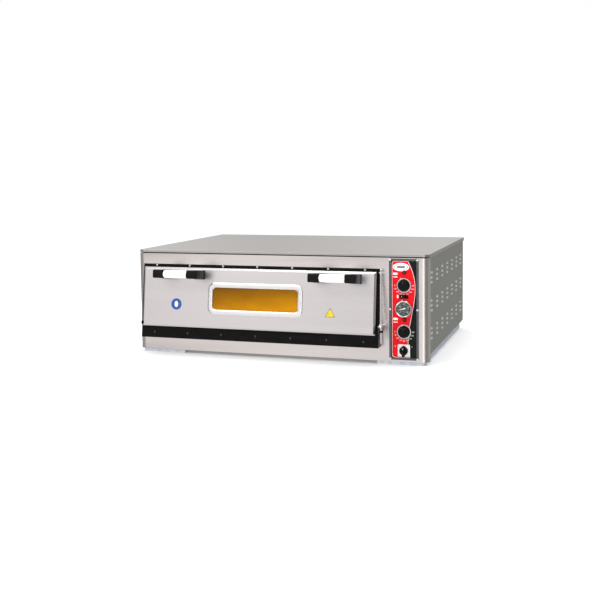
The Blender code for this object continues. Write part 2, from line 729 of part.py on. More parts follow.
def make_rocker_switch():
    front = PLATE_FRONT - GAP
    housing = block(
        "rocker_housing", (PANEL_X - 0.0165, front - 0.0022, ROCKER_Z - 0.0075),
        (PANEL_X + 0.0165, front, ROCKER_Z + 0.0075), BLACK_PLASTIC, bevel=0.0008, segments=1,
    )
    body = block(
        "rocker_body", (PANEL_X - 0.0140, front - 0.001, ROCKER_Z - 0.0056),
        (PANEL_X + 0.0140, front + 0.024, ROCKER_Z + 0.0056), BLACK_PLASTIC, group=CUTTERS,
    )
    cavity = block(
        "rocker_cavity", (PANEL_X - 0.0129, front - 0.01, ROCKER_Z - 0.0049),
        (PANEL_X + 0.0129, front + 0.0085, ROCKER_Z + 0.0049), BLACK_PLASTIC, group=CUTTERS,
    )
    join(housing, body)
    cut(housing, cavity)
    pivot = bpy.data.objects.new("rocker_pivot", None)
    pivot.location = (PANEL_X, front + 0.0015, ROCKER_Z)
    pivot.rotation_euler = (0, 0, -ROCKER_TILT)
    PARTS.objects.link(pivot)
    outline = [
        (-0.0122, -0.0040), (0, -0.0019), (0.0122, -0.0040),
        (0.0122, 0.0012), (0, 0.0034), (-0.0122, 0.0012),
    ]
    bm = bmesh.new()
    face = bm.faces.new([bm.verts.new((x, y, -0.0045)) for x, y in outline])
    top = bmesh.ops.extrude_face_region(bm, geom=[face])["geom"]
    bmesh.ops.translate(bm, verts=[v for v in top if isinstance(v, bmesh.types.BMVert)], vec=(0, 0, 0.009))
    place("rocker", mesh_from(bm, "rocker"), BLACK_PLASTIC, parent=pivot)


def make_gauge():
    """Dial thermometer: a cup with a rolled rim, and in it the dial, the needle and the glass."""
    inner = GAUGE_R - 0.0035
    centre = (PANEL_X, PLATE_FRONT, GAUGE_Z)
    case = [
        (inner - 0.0015, 0.0108), (GAUGE_R - 0.002, 0.0120), (GAUGE_R, 0.0100), (GAUGE_R, GAP),
        (GAUGE_R - 0.0026, GAP), (GAUGE_R - 0.0026, -0.020), (0.002, -0.020), (0.002, -0.006),
        (inner - 0.002, -0.006), (inner, -0.004), (inner, 0.0085), (inner - 0.0015, 0.0095),
    ]
    turned("gauge_case", case, CHROME, centre, closed=True, sides=32)
    dial_r = inner - 0.0004
    dial = [(0.0014, 0.0012), (dial_r, 0.0012), (dial_r, 0), (0.0014, 0)]
    turned("gauge_dial", dial, DIAL, centre, closed=True, sides=32)
    glass = [(0, 0.0082), (dial_r, 0.0082), (dial_r, 0.0064), (0, 0.0064)]
    turned("gauge_glass", glass, CLEAR, centre, sides=32)
    needle = rods(
        "gauge_needle", 0.0022, [((0, -0.0020, 0), (0, -0.0042, 0))], BLACK_PLASTIC, sides=14,
    )
    needle.location = centre
    hand = block(
        "needle_hand", (-0.0009, -0.0036, -0.0060), (0.0009, -0.0026, 0.0215), BLACK_PLASTIC, group=CUTTERS
    )
    hand.location = centre
    needle.rotation_euler = hand.rotation_euler = (0, NEEDLE_REST, 0)
    join(needle, hand)


def make_knobs():
    for level, z in KNOB_Z.items():
        centre = (PANEL_X, PLATE_FRONT, z)
        ring = [(RING_R - 0.002, 0.0030), (RING_R, 0.0015), (RING_R, GAP), (0.0060, GAP), (0.0060, 0.0030)]
        turned("knob_ring_" + level, ring, CHROME, centre, closed=True, sides=32)
        bore = 0.0034
        profile = [
            (0, 0.0220), (0.0150, 0.0220), (0.0168, 0.0205), (0.0180, 0.0080),
            (KNOB_R, 0.0060), (KNOB_R, 0.0034), (bore, 0.0034), (bore, 0.0155), (0, 0.0155),
        ]
        knob = turned("knob_" + level, profile, BLACK_PLASTIC, centre, sides=32)
        pointer = block("pointer_" + level, (-0.0012, -0.0230, 0.004), (0.0012, -0.0210, 0.0150),
                        WHITE_PLASTIC, group=CUTTERS)
        pointer.location = centre
        join(knob, pointer)


def make_cam_switch():
    """Main isolator: square plate, contact block behind the panel and a lever knob in front."""
    half = CAM_PLATE / 2
    front = PLATE_FRONT - GAP
    plate = round_block("cam_switch_plate", (PANEL_X - half, front - 0.0030, CAM_Z - half),
                        (PANEL_X + half, front, CAM_Z + half), 0.004, 1, WHITE_PLASTIC)
    hole = rods("cam_hole", 0.0062, [((PANEL_X, front - 0.01, CAM_Z), (PANEL_X, front + 0.01, CAM_Z))],
                WHITE_PLASTIC, sides=20, group=CUTTERS)
    cut(plate, hole)
    body = block("cam_switch_body", (PANEL_X - 0.020, Y_FRONT + 0.0005, CAM_Z - 0.018),
                 (PANEL_X + 0.020, Y_FRONT + 0.062, CAM_Z + 0.020), BLACK_PLASTIC, bevel=0.002, segments=1)
    spindle_ends = ((PANEL_X, Y_FRONT + 0.01, CAM_Z), (PANEL_X, front - 0.012, CAM_Z))
    spindle = rods("cam_spindle", 0.003, [spindle_ends], CHROME, sides=16, group=CUTTERS)
    join(body, spindle)
    centre = (PANEL_X, front - 0.0030, CAM_Z)
    profile = [
        (0, 0.0160), (0.0150, 0.0160), (0.0168, 0.0130), (0.0175, 0.0006),
        (0.0034, 0.0006), (0.0034, 0.0120), (0, 0.0120),
    ]
    knob = turned("cam_switch_knob", profile, BLACK_PLASTIC, centre, sides=28)
    lever = round_block("cam_lever", (-0.0042, -0.0270, -0.0210), (0.0042, -0.0140, 0.0150), 0.003, 1,
                        BLACK_PLASTIC, group=CUTTERS)
    lever.location = centre
    join(knob, lever)


# ---- door ----


def make_hinge_frame():
    """Empty on the hinge axis, leaning back with the mouth frame's front face."""
    made = bpy.data.objects.new("door_hinge_axis", None)
    out = Vector((0, -math.cos(TILT), math.sin(TILT)))
    made.location = Vector((0, plane_y(HINGE_Z), HINGE_Z)) + out * HINGE_OUT
    made.rotation_euler = (-TILT, 0, 0)
    PARTS.objects.link(made)
    bpy.context.view_layer.update()
    return made


def door_y(out):
    """Y in the hinge's frame of a point that stands this far out of the mouth frame's face."""
    return HINGE_OUT - out


def door_box(name, half, low, high, inner, outer, finish, radius=0.0, group=None):
    """A block centred on the door: half its width, its low and high edge, and how far in and out it goes."""
    low_corner = (CENTRE_X - half, door_y(outer), low)
    high_corner = (CENTRE_X + half, door_y(inner), high)
    if radius:
        return round_block(name, low_corner, high_corner, radius, 1, finish, parent=HINGE, group=group)
    return block(name, low_corner, high_corner, finish, parent=HINGE, group=group)


def window_box(name, size, inner, outer, finish, radius, group=None):
    half_h = size[1] / 2
    low, high = WINDOW_V - half_h, WINDOW_V + half_h
    return door_box(name, size[0] / 2, low, high, inner, outer, finish, radius, group)


def make_door_outer_panel():
    """Pressed sheet: chamfered border, edges turned back, open behind, with the window cut out."""
    bm = bmesh.new()
    low = (CENTRE_X - DOOR_HALF, door_y(DOOR_OUT), DOOR_LOW)
    cube_between(bm, low, (CENTRE_X + DOOR_HALF, door_y(DOOR_IN), DOOR_HIGH))
    face_y = door_y(DOOR_OUT)
    border = [e for e in bm.edges if all(abs(v.co.y - face_y) < 1e-6 for v in e.verts)]
    bmesh.ops.bevel(bm, geom=border, offset=DOOR_CHAMFER, segments=1, affect="EDGES")
    bmesh.ops.recalc_face_normals(bm, faces=bm.faces)
    bmesh.ops.delete(bm, geom=[f for f in bm.faces if f.normal.y > 0.9], context="FACES_ONLY")
    panel = place("door_outer_panel", mesh_from(bm, "door_outer_panel"), STAINLESS, parent=HINGE)
    thicken(panel, PAN_SHEET)
    cut(panel, window_box("window_cut", GLASS_SIZE, -0.01, 0.05, STAINLESS, 0.014, CUTTERS))
    cut(panel, rods("door_axle_holes", AXLE_R + GAP, [((-0.7, 0, 0), (0.7, 0, 0))], STAINLESS, parent=HINGE,
                    group=CUTTERS))


def make_door_inner_pan():
    """Sheet pan that enters the throat, with a flange all round behind the outer panel."""
    bm = bmesh.new()
    flange = 0.0065
    low = (CENTRE_X - PAN_HALF, door_y(flange), PAN_LOW)
    cube_between(bm, low, (CENTRE_X + PAN_HALF, door_y(PAN_DEEP), PAN_HIGH))
    bmesh.ops.recalc_face_normals(bm, faces=bm.faces)
    bmesh.ops.delete(bm, geom=[f for f in bm.faces if f.normal.y < -0.9], context="FACES_ONLY")
    rim = [e for e in bm.edges if e.is_boundary]
    moved = bmesh.ops.extrude_edge_only(bm, edges=rim)["geom"]
    for vert in (v for v in moved if isinstance(v, bmesh.types.BMVert)):
        vert.co.x = CENTRE_X + math.copysign(DOOR_HALF - 0.002, vert.co.x - CENTRE_X)
        vert.co.z = DOOR_LOW + 0.002 if vert.co.z < WINDOW_V else DOOR_HIGH - 0.002
    pan = place("door_inner_pan", mesh_from(bm, "door_inner_pan"), DULL_STEEL, parent=HINGE)
    thicken(pan, PAN_SHEET)
    cut(pan, window_box("inner_window_cut", GLASS_SIZE, -0.04, -0.01, DULL_STEEL, 0.014, CUTTERS))


def make_door_filling():
    wool = door_box("door_insulation", PAN_HALF - 0.0018, PAN_LOW + 0.0018, PAN_HIGH - 0.0018,
                    PAN_DEEP + PAN_SHEET + GAP, DOOR_OUT - PAN_SHEET - GAP, WOOL)
    cut(wool, window_box("window_well", (0.386, 0.118), -0.05, 0.05, WOOL, 0.010, CUTTERS))
    window_box("window_glass_outer", (0.380, 0.112), 0.0145, DOOR_OUT - PAN_SHEET - GAP, AMBER, 0.010)
    window_box("window_glass_inner", (0.380, 0.112), PAN_DEEP + PAN_SHEET + GAP, -0.0185, CLEAR, 0.010)


def make_window_bezel():
    bezel = window_box("window_bezel", BEZEL_SIZE, DOOR_OUT + GAP, DOOR_OUT + 0.0045, STAINLESS, 0.022)
    edge = bezel.modifiers.new("edges", "BEVEL")
    edge.width = 0.0015
    edge.segments = 1
    cut(bezel, window_box("bezel_cut", GLASS_SIZE, 0, 0.06, STAINLESS, 0.014, CUTTERS))


def make_door_seal():
    seal = door_box("door_seal", SEAL_HALF, SEAL_LOW, SEAL_HIGH, 0.0004, 0.0062, ROPE, 0.012)
    cut(seal, door_box("seal_middle", SEAL_HALF - SEAL_WIDTH, SEAL_LOW + SEAL_WIDTH, SEAL_HIGH - SEAL_WIDTH,
                       -0.02, 0.03, ROPE, 0.004, CUTTERS))


def make_door_axle():
    """Through axle with the crank that lifts the balance rod on its right end."""
    left = CENTRE_X - DOOR_HALF - LUG_GAP - LUG_THICK - 0.0005
    axle_ends = ((left, 0, 0), (CRANK_X[0] + 0.002, 0, 0))
    axle = rods("door_axle", AXLE_R, [axle_ends], CHROME, sides=20, parent=HINGE)
    hub = rods("crank_hub", 0.0085, [((CRANK_X[0], 0, 0), (CRANK_X[1], 0, 0))], BLACK_ENAMEL, sides=20,
               parent=HINGE, group=CUTTERS)
    low = (CRANK_X[0] + 0.0002, -0.005, 0)
    high = (CRANK_X[1] - 0.0002, 0.005, CRANK_LENGTH + 0.005)
    arm = round_block("crank_arm", low, high, 0.0045, 0, BLACK_ENAMEL, parent=HINGE, group=CUTTERS)
    join(hub, arm)
    join(axle, hub)


def make_handle(name, grip_name, side):
    """Two black blocks on the door, joined by the rod that carries the white grip."""
    x = CENTRE_X + HANDLE_SHIFT + side * HANDLE_X
    half = HANDLE_LENGTH / 2
    foot, front = DOOR_OUT + GAP, DOOR_OUT + HANDLE_STAND + GRIP_R + 0.001
    ends = []
    for end in (-1, 1):
        outer, inner = x + end * half, x + end * (half - HANDLE_BLOCK)
        low = (min(outer, inner), door_y(front), HANDLE_V - HANDLE_TALL / 2)
        high = (max(outer, inner), door_y(foot), HANDLE_V + HANDLE_TALL / 2)
        tag = "_a" if end < 0 else "_b"
        group = None if end < 0 else CUTTERS
        ends.append(round_block(name if end < 0 else name + tag, low, high, 0.006, 0, BLACK_PLASTIC,
                                segments=3, parent=HINGE, group=group))
    centre_y = door_y(DOOR_OUT + HANDLE_STAND)
    rod_ends = ((x - half + 0.01, centre_y, HANDLE_V), (x + half - 0.01, centre_y, HANDLE_V))
    rod = rods(name + "_rod", HANDLE_ROD_R, [rod_ends], BLACK_PLASTIC, sides=12, parent=HINGE, group=CUTTERS)
    join(ends[1], rod)
    join(ends[0], ends[1])
    reach = half - HANDLE_BLOCK - GAP
    bore = HANDLE_ROD_R + GAP
    rim = GRIP_R - 0.0015
    profile = [
        (rim, reach), (GRIP_R, reach - 0.002), (GRIP_R, 0.002 - reach),
        (rim, -reach), (bore, -reach), (bore, reach),
    ]
    turned(grip_name, profile, WHITE_GRIP, (x, centre_y, HANDLE_V), closed=True, sides=24,
           rotation=(0, math.radians(90), 0), parent=HINGE)


# ---- balance rod ----


def make_balance_rod():
    """Chrome rod that slides along the door's edge as the crank turns, its knob and its guide."""
    lean = bpy.data.objects.new("balance_rod_axis", None)
    lean.parent = HINGE
    lean.location = (ROD_X, 0, 0)
    lean.rotation_euler = (0, -ROD_LEAN, 0)
    PARTS.objects.link(lean)
    bm = bmesh.new()
    add_rod(bm, ROD_R, (0, 0, ROD_LOW), (0, 0, ROD_HIGH), 20)
    rod = place("balance_rod", mesh_from(bm, "balance_rod"), CHROME, parent=lean)
    edge = rod.modifiers.new("edges", "BEVEL")
    edge.width = 0.0018
    edge.segments = 1
    edge.limit_method = "ANGLE"
    knob = [
        (0, 0.0130), (0.0035, 0.0125), (0.0058, 0.0100), (0.0058, 0.0075),
        (0.0030, 0.0050), (0.0030, 0), (0, 0),
    ]
    turned("rod_knob", knob, CHROME, (0, -ROD_R - GAP, CRANK_LENGTH), sides=18, parent=lean)
    guide_low = (ROD_X - 0.0060, Y_FRONT - GAP - 0.0020, 0.110)
    guide = block("rod_guide", guide_low, (ROD_X + 0.0060, Y_FRONT - GAP, 0.362), STAINLESS)
    for i, v in enumerate(GUIDE_V):
        arm = block("guide_arm_%d" % i, (-0.0060, -0.0068, v - 0.0025), (0.0060, 0.0, v + 0.0025),
                    STAINLESS, parent=lean, group=CUTTERS)
        stretch_back(arm, v)
        join(guide, arm)
    bore = rods("guide_bore", ROD_R + 0.0004, [((0, 0, ROD_LOW), (0, 0, ROD_HIGH))], STAINLESS, sides=20,
                parent=lean, group=CUTTERS)
    cut(guide, bore)


def stretch_back(arm, v):
    """Runs a guide arm back from the rod to the strip on the fascia."""
    bpy.context.view_layer.update()
    there = HINGE.matrix_world @ Vector((ROD_X, 0, v))
    back = (there.y - Y_FRONT) + 0.0013
    for vert in arm.data.vertices:
        if vert.co.y > -0.001:
            vert.co.y = -back / math.cos(TILT)


HINGE = make_hinge_frame()
SERVICES = make_services_cutter()

make_base_tray()
make_foot_rail("foot_rail_left", -1)
make_foot_rail("foot_rail_right", 1)
make_side_panel("side_panel_left", -1)
make_louvres(make_side_panel("side_panel_right", 1))
make_back_panel()
make_top_cover()
make_front_fascia()
make_mouth_frame()
make_chamber_liner()
make_deck_stones()
make_stone_rails()
make_heaters()
make_insulation()
make_compartment_wall()
make_chamber_lamp()
make_thermostats()
make_capillaries()
make_rear_services()
make_control_panel()
make_pilot_lamps()
make_rocker_switch()
make_gauge()
make_knobs()
make_cam_switch()
make_door_outer_panel()
make_door_inner_pan()
make_door_filling()
make_window_bezel()
make_door_seal()
make_door_axle()
make_handle("handle_frame_left", "handle_grip_left", -1)
make_handle("handle_frame_right", "handle_grip_right", 1)
make_balance_rod()
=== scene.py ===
"""Looks of the deck oven: finishes, fine geometry, floor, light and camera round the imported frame."""

import json
import math

import bmesh
import bpy
from mathutils import Matrix, Vector


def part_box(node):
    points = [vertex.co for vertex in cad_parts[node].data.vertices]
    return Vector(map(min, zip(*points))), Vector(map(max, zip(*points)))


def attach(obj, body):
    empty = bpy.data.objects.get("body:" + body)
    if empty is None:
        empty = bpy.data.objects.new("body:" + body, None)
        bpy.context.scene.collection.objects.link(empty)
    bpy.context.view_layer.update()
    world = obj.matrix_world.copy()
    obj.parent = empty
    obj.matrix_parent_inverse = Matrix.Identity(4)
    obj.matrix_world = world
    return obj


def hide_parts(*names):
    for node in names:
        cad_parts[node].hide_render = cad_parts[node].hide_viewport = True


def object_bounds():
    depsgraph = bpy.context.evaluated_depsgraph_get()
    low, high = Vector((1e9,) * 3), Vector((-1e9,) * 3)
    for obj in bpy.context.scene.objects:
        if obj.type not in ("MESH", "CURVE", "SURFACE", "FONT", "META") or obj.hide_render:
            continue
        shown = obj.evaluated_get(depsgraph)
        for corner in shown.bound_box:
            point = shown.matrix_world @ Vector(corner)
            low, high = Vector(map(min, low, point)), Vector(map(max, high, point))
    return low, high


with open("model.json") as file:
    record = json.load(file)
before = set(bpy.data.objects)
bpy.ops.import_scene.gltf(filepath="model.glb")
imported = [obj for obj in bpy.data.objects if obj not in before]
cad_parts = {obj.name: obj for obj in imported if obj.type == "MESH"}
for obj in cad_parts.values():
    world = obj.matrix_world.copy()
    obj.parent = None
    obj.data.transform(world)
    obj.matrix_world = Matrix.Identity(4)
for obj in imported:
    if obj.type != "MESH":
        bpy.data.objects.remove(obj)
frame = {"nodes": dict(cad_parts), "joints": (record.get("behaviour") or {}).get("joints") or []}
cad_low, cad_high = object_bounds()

NODES = frame["nodes"]
JOINTS = {joint["name"]: joint for joint in frame["joints"]}

# The door's own frame: X across, Y inwards, Z up the door, with its origin on the hinge axis.
LEAN = math.radians(7.173)
HINGE = Vector(JOINTS["door_hinge"]["pos_m"])
DOOR = Matrix.Translation(HINGE) @ Matrix.Rotation(-LEAN, 4, "X")
HINGE_OUT = 0.014
DOOR_FACE = 0.020

# Parts of the front that face -Y are turned with their own +Z out of the front.
OUTWARD = Matrix.Rotation(math.radians(90), 4, "X")

PLATE_LOW, PLATE_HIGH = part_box("control_panel_plate")
PLATE_Y = PLATE_LOW.y
FRONT_Y = PLATE_Y + 0.0018  # the fascia's front face, which the plate stands proud of
PANEL = Vector(((PLATE_LOW.x + PLATE_HIGH.x) / 2, PLATE_Y, (PLATE_LOW.z + PLATE_HIGH.z) / 2))
PRINT = 0.00008
GAP = 0.0003


# ---- node helpers ----


def new_material(name, colour, roughness, metallic=0.0, **sockets):
    """A Principled material; extra sockets are given by name with _ for a space."""
    made = bpy.data.materials.new(name)
    made.use_nodes = True
    shader = made.node_tree.nodes["Principled BSDF"]
    shader.inputs["Base Color"].default_value = (*colour, 1)
    shader.inputs["Roughness"].default_value = roughness
    shader.inputs["Metallic"].default_value = metallic
    for key, value in sockets.items():
        shader.inputs[key.replace("_", " ")].default_value = value
    made.diffuse_color = (*colour, 1)
    return made


def shader_of(material):
    return material.node_tree.nodes["Principled BSDF"]


def object_coords(material, scale):
    tree = material.node_tree
    source = tree.nodes.new("ShaderNodeTexCoord")
    mapping = tree.nodes.new("ShaderNodeMapping")
    mapping.inputs["Scale"].default_value = scale
    tree.links.new(source.outputs["Object"], mapping.inputs["Vector"])
    return mapping.outputs["Vector"]


def noise(material, scale, detail=4.0, roughness=0.55):
    node = material.node_tree.nodes.new("ShaderNodeTexNoise")
    node.inputs["Scale"].default_value = 1.0
    node.inputs["Detail"].default_value = detail
    node.inputs["Roughness"].default_value = roughness
    material.node_tree.links.new(object_coords(material, scale), node.inputs["Vector"])
    return node.outputs["Fac"]


def cells(material, scale, output="Distance"):
    node = material.node_tree.nodes.new("ShaderNodeTexVoronoi")
    node.inputs["Scale"].default_value = 1.0
    material.node_tree.links.new(object_coords(material, scale), node.inputs["Vector"])
    return node.outputs[output]


def waves(material, scale):
    node = material.node_tree.nodes.new("ShaderNodeTexWave")
    node.bands_direction = "DIAGONAL"
    node.inputs["Scale"].default_value = 1.0
    node.inputs["Distortion"].default_value = 0.6
    material.node_tree.links.new(object_coords(material, scale), node.inputs["Vector"])
    return node.outputs["Fac"]


def ramp(tree, factor, stops):
    """A colour that follows factor through the stops, each given as (position, colour)."""
    node = tree.nodes.new("ShaderNodeValToRGB")
    elements = node.color_ramp.elements
    for element, (place, colour) in zip(elements, (stops[0], stops[-1])):
        element.position = place
        element.color = (*colour, 1)
    for place, colour in stops[1:-1]:
        elements.new(place).color = (*colour, 1)
    tree.links.new(factor, node.inputs["Fac"])
    return node.outputs["Color"]


def blend(material, factor, low, high, start=0.35, end=0.65):
    """A colour that goes from low to high as factor goes from start to end."""
    return ramp(material.node_tree, factor, [(start, low), (end, high)])


def mapped(tree, value, start, end, low=0.0, high=1.0):
    """value, taken from the range start to end to the range low to high."""
    node = tree.nodes.new("ShaderNodeMapRange")
    limits = {"From Min": start, "From Max": end, "To Min": low, "To Max": high}
    for socket, limit in limits.items():
        node.inputs[socket].default_value = limit
    tree.links.new(value, node.inputs["Value"])
    return node.outputs["Result"]


def span(material, factor, low, high):
    """A noise's output, which is about 0.3 to 0.7, taken to the range low to high."""
    return mapped(material.node_tree, factor, 0.3, 0.7, low, high)


def weighted(material, first, first_share, second, second_share):
    """The sum of two outputs, each times its share."""
    return arithmetic(material, "ADD", arithmetic(material, "MULTIPLY", first, first_share),
                      arithmetic(material, "MULTIPLY", second, second_share))


def arithmetic(material, operation, first, second):
    node = material.node_tree.nodes.new("ShaderNodeMath")
    node.operation = operation
    for value, socket in ((first, node.inputs[0]), (second, node.inputs[1])):
        if isinstance(value, (int, float)):
            socket.default_value = value
        else:
            material.node_tree.links.new(value, socket)
    return node.outputs["Value"]


def colour_from(material, output):
    material.node_tree.links.new(output, shader_of(material).inputs["Base Color"])


def roughness_from(material, output):
    material.node_tree.links.new(output, shader_of(material).inputs["Roughness"])


def bump_from(material, height, distance, strength=0.5):
    node = material.node_tree.nodes.new("ShaderNodeBump")
    node.inputs["Strength"].default_value = strength
    node.inputs["Distance"].default_value = distance
    material.node_tree.links.new(height, node.inputs["Height"])
    material.node_tree.links.new(node.outputs["Normal"], shader_of(material).inputs["Normal"])


# ---- finishes ----


def brushed_steel(name, colour, roughness, along="X", depth=0.00004, metallic=1.0):
    """Sheet steel with long fine grinding lines along one axis, and broad soft patches."""
    made = new_material(name, colour, roughness, metallic)
    spread = 0.06
    fine = {"X": (3, 700, 700), "Z": (700, 700, 3)}[along]
    broad = {"X": (0.8, 9, 9), "Z": (9, 9, 0.8)}[along]
    lines = noise(made, fine, detail=3)
    patches = noise(made, broad, detail=2)
    darker = tuple(c * 0.94 for c in colour)
    lighter = tuple(min(1, c * 1.04) for c in colour)
    mixed = weighted(made, lines, 0.45, patches, 0.55)
    colour_from(made, blend(made, mixed, darker, lighter))
    roughness_from(made, span(made, mixed, roughness - spread, roughness + spread))
    bump_from(made, lines, depth)
    return made


def galvanised_sheet():
    """Zinc coat with its crystal spangle."""
    made = new_material("galvanised", (0.62, 0.66, 0.74), 0.45, 0.6)
    spangle = cells(made, (60, 60, 60), output="Color")
    grain = noise(made, (900, 900, 900), detail=2)
    colour_from(made, blend(made, spangle, (0.52, 0.57, 0.66), (0.72, 0.76, 0.84), 0.1, 0.9))
    roughness_from(made, span(made, spangle, 0.38, 0.54))
    bump_from(made, grain, 0.00003)
    return made


def plated(name, colour, roughness, grain=0.000015):
    """Bright plating with faint handling marks."""
    made = new_material(name, colour, roughness, 1.0)
    smudge = noise(made, (55, 55, 55), detail=6, roughness=0.7)
    colour_from(made, blend(made, smudge, tuple(c * 0.93 for c in colour), colour))
    roughness_from(made, span(made, smudge, roughness * 0.7, roughness * 1.8))
    bump_from(made, noise(made, (420, 420, 420), detail=2), grain)
    return made


def enamel():
    """Satin black stove enamel with orange peel and slight baked-on browning."""
    made = new_material("black_enamel", (0.003, 0.003, 0.003), 0.34, 0.0, Specular_IOR_Level=0.10)
    stain = noise(made, (14, 14, 40), detail=7, roughness=0.65)
    colour_from(made, blend(made, stain, (0.0030, 0.0030, 0.0032), (0.010, 0.008, 0.007), 0.45, 0.8))
    roughness_from(made, span(made, stain, 0.26, 0.42))
    bump_from(made, noise(made, (260, 260, 260), detail=2), 0.00012, 0.35)
    return made


def moulded(name, colour, roughness, lift=1.5):
    """Moulded plastic with a fine spark-eroded grain and rubbed patches."""
    made = new_material(name, colour, roughness, 0.0, Specular_IOR_Level=0.14)
    rub = noise(made, (70, 70, 70), detail=5)
    colour_from(made, blend(made, rub, colour, tuple(min(1, c * lift) for c in colour), 0.4, 0.75))
    roughness_from(made, span(made, rub, roughness - 0.07, roughness + 0.07))
    bump_from(made, cells(made, (900, 900, 900)), 0.00006, 0.4)
    return made


def glazed():
    """White glazed grip, a little uneven, with a glossy coat."""
    made = new_material("white_glaze", (0.93, 0.92, 0.90), 0.22, 0.0, Coat_Weight=0.7, Coat_Roughness=0.08)
    tone = noise(made, (35, 35, 35), detail=5)
    colour_from(made, blend(made, tone, (0.90, 0.89, 0.86), (0.96, 0.96, 0.95)))
    roughness_from(made, span(made, tone, 0.16, 0.30))
    bump_from(made, noise(made, (140, 140, 140), detail=2), 0.00006, 0.3)
    return made


def printed_foil(name, colour, roughness=0.34):
    """Screen print on polyester foil: a fine emboss, with ink that varies a little."""
    made = new_material(name, colour, roughness, 0.0, Specular_IOR_Level=0.15)
    ink = noise(made, (90, 90, 90), detail=4)
    darker = tuple(c * 0.90 for c in colour)
    colour_from(made, blend(made, ink, darker, tuple(min(1, c * 1.06 + 0.002) for c in colour)))
    roughness_from(made, span(made, ink, roughness - 0.05, roughness + 0.06))
    bump_from(made, cells(made, (1500, 1500, 1500)), 0.00003, 0.3)
    return made


def amber_window():
    """Heat-proof glass, coated amber, with a painted glow for the lit chamber behind it: emission in its own colour,
    brighter low down and to the right, darker towards the top as painted shade.
    """
    made = new_material("amber_glass", (0.33, 0.12, 0.001), 0.12, 0.0, Specular_IOR_Level=0.10)
    low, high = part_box("window_glass_outer")
    rim = 0.012  # behind the window's frame at the top and bottom
    tree = made.node_tree
    split = tree.nodes.new("ShaderNodeSeparateXYZ")
    tree.links.new(object_coords(made, (1, 1, 1)), split.inputs["Vector"])
    across = mapped(tree, split.outputs["X"], low.x, high.x)
    down = mapped(tree, split.outputs["Z"], high.z - rim, low.z + rim)
    haze = noise(made, (9, 9, 22), detail=5)
    # painted glow and shade: brighter to the right and low down, darker at the top, with random haze
    painted_glow = arithmetic(made, "ADD", weighted(made, across, 0.35, down, 0.65),
                      arithmetic(made, "MULTIPLY", haze, 0.30))
    stops = [(0.15, (0.135, 0.054, 0.0002)), (0.55, (0.245, 0.100, 0.0004)), (1.0, (0.48, 0.20, 0.001))]
    colour = ramp(tree, painted_glow, stops)
    colour_from(made, colour)
    # the painted glow also drives the emission, so the glass glows though it is no lamp
    tree.links.new(colour, shader_of(made).inputs["Emission Color"])
    shader_of(made).inputs["Emission Strength"].default_value = 0.15
    roughness_from(made, span(made, haze, 0.06, 0.18))
    bump_from(made, noise(made, (30, 30, 30), detail=2), 0.00004, 0.3)
    return made


def clear_pane(name, alpha):
    made = new_material(name, (0.90, 0.94, 0.93), 0.04, 0.0, Alpha=alpha)
    film = noise(made, (40, 40, 40), detail=5)
    colour_from(made, blend(made, film, (0.84, 0.89, 0.88), (0.93, 0.96, 0.95)))
    roughness_from(made, span(made, film, 0.03, 0.09))
    bump_from(made, noise(made, (60, 60, 60), detail=2), 0.00001, 0.3)
    return made


def fireclay():
    """Baking stone: sandy grain, dark specks and toasted patches."""
    made = new_material("fireclay", (0.62, 0.50, 0.38), 0.9)
    toast = noise(made, (7, 7, 7), detail=8, roughness=0.65)
    grain = noise(made, (480, 480, 480), detail=3)
    mixed = weighted(made, toast, 0.6, grain, 0.4)
    colour_from(made, blend(made, mixed, (0.36, 0.26, 0.17), (0.68, 0.57, 0.45)))
    roughness_from(made, span(made, grain, 0.82, 0.97))
    bump_from(made, grain, 0.0004, 0.7)
    return made


def mineral_wool():
    made = new_material("mineral_wool", (0.62, 0.58, 0.42), 0.95)
    fibres = noise(made, (30, 420, 420), detail=6, roughness=0.75)
    tufts = noise(made, (60, 60, 60), detail=6)
    mixed = arithmetic(made, "MULTIPLY", arithmetic(made, "ADD", fibres, tufts), 0.5)
    colour_from(made, blend(made, mixed, (0.42, 0.37, 0.24), (0.74, 0.70, 0.54)))
    roughness_from(made, span(made, tufts, 0.88, 1.0))
    bump_from(made, mixed, 0.003, 0.9)
    return made


def heater_sheath():
    made = new_material("heater_sheath", (0.16, 0.15, 0.14), 0.5, 1.0)
    scale = noise(made, (60, 60, 60), detail=6)
    colour_from(made, blend(made, scale, (0.09, 0.085, 0.09), (0.26, 0.21, 0.17)))
    roughness_from(made, span(made, scale, 0.40, 0.65))
    bump_from(made, noise(made, (600, 600, 600), detail=3), 0.00008)
    return made


def woven_rope():
    made = new_material("woven_rope", (0.55, 0.53, 0.50), 0.9, 0.0, Sheen_Weight=0.3)
    braid = arithmetic(made, "MULTIPLY", waves(made, (160, 160, 160)), waves(made, (190, -190, 190)))
    colour_from(made, blend(made, braid, (0.33, 0.31, 0.28), (0.68, 0.66, 0.62), 0.1, 0.8))
    roughness_from(made, span(made, braid, 0.85, 0.97))
    bump_from(made, braid, 0.0006, 0.8)
    return made


def glazed_ceramic():
    made = new_material("ceramic", (0.78, 0.74, 0.66), 0.5)
    tone = noise(made, (120, 120, 120), detail=5)
    colour_from(made, blend(made, tone, (0.68, 0.63, 0.54), (0.84, 0.81, 0.74)))
    roughness_from(made, span(made, tone, 0.35, 0.6))
    bump_from(made, noise(made, (500, 500, 500), detail=2), 0.00005)
    return made


def lamp_lens():
    made = new_material("dark_lens", (0.030, 0.010, 0.008), 0.10, 0.0, Coat_Weight=0.8, Coat_Roughness=0.04)
    facets = cells(made, (420, 420, 420))
    colour_from(made, blend(made, facets, (0.020, 0.008, 0.007), (0.055, 0.016, 0.012), 0.1, 0.7))
    roughness_from(made, span(made, facets, 0.08, 0.16))
    bump_from(made, facets, 0.0001, 0.4)
    return made


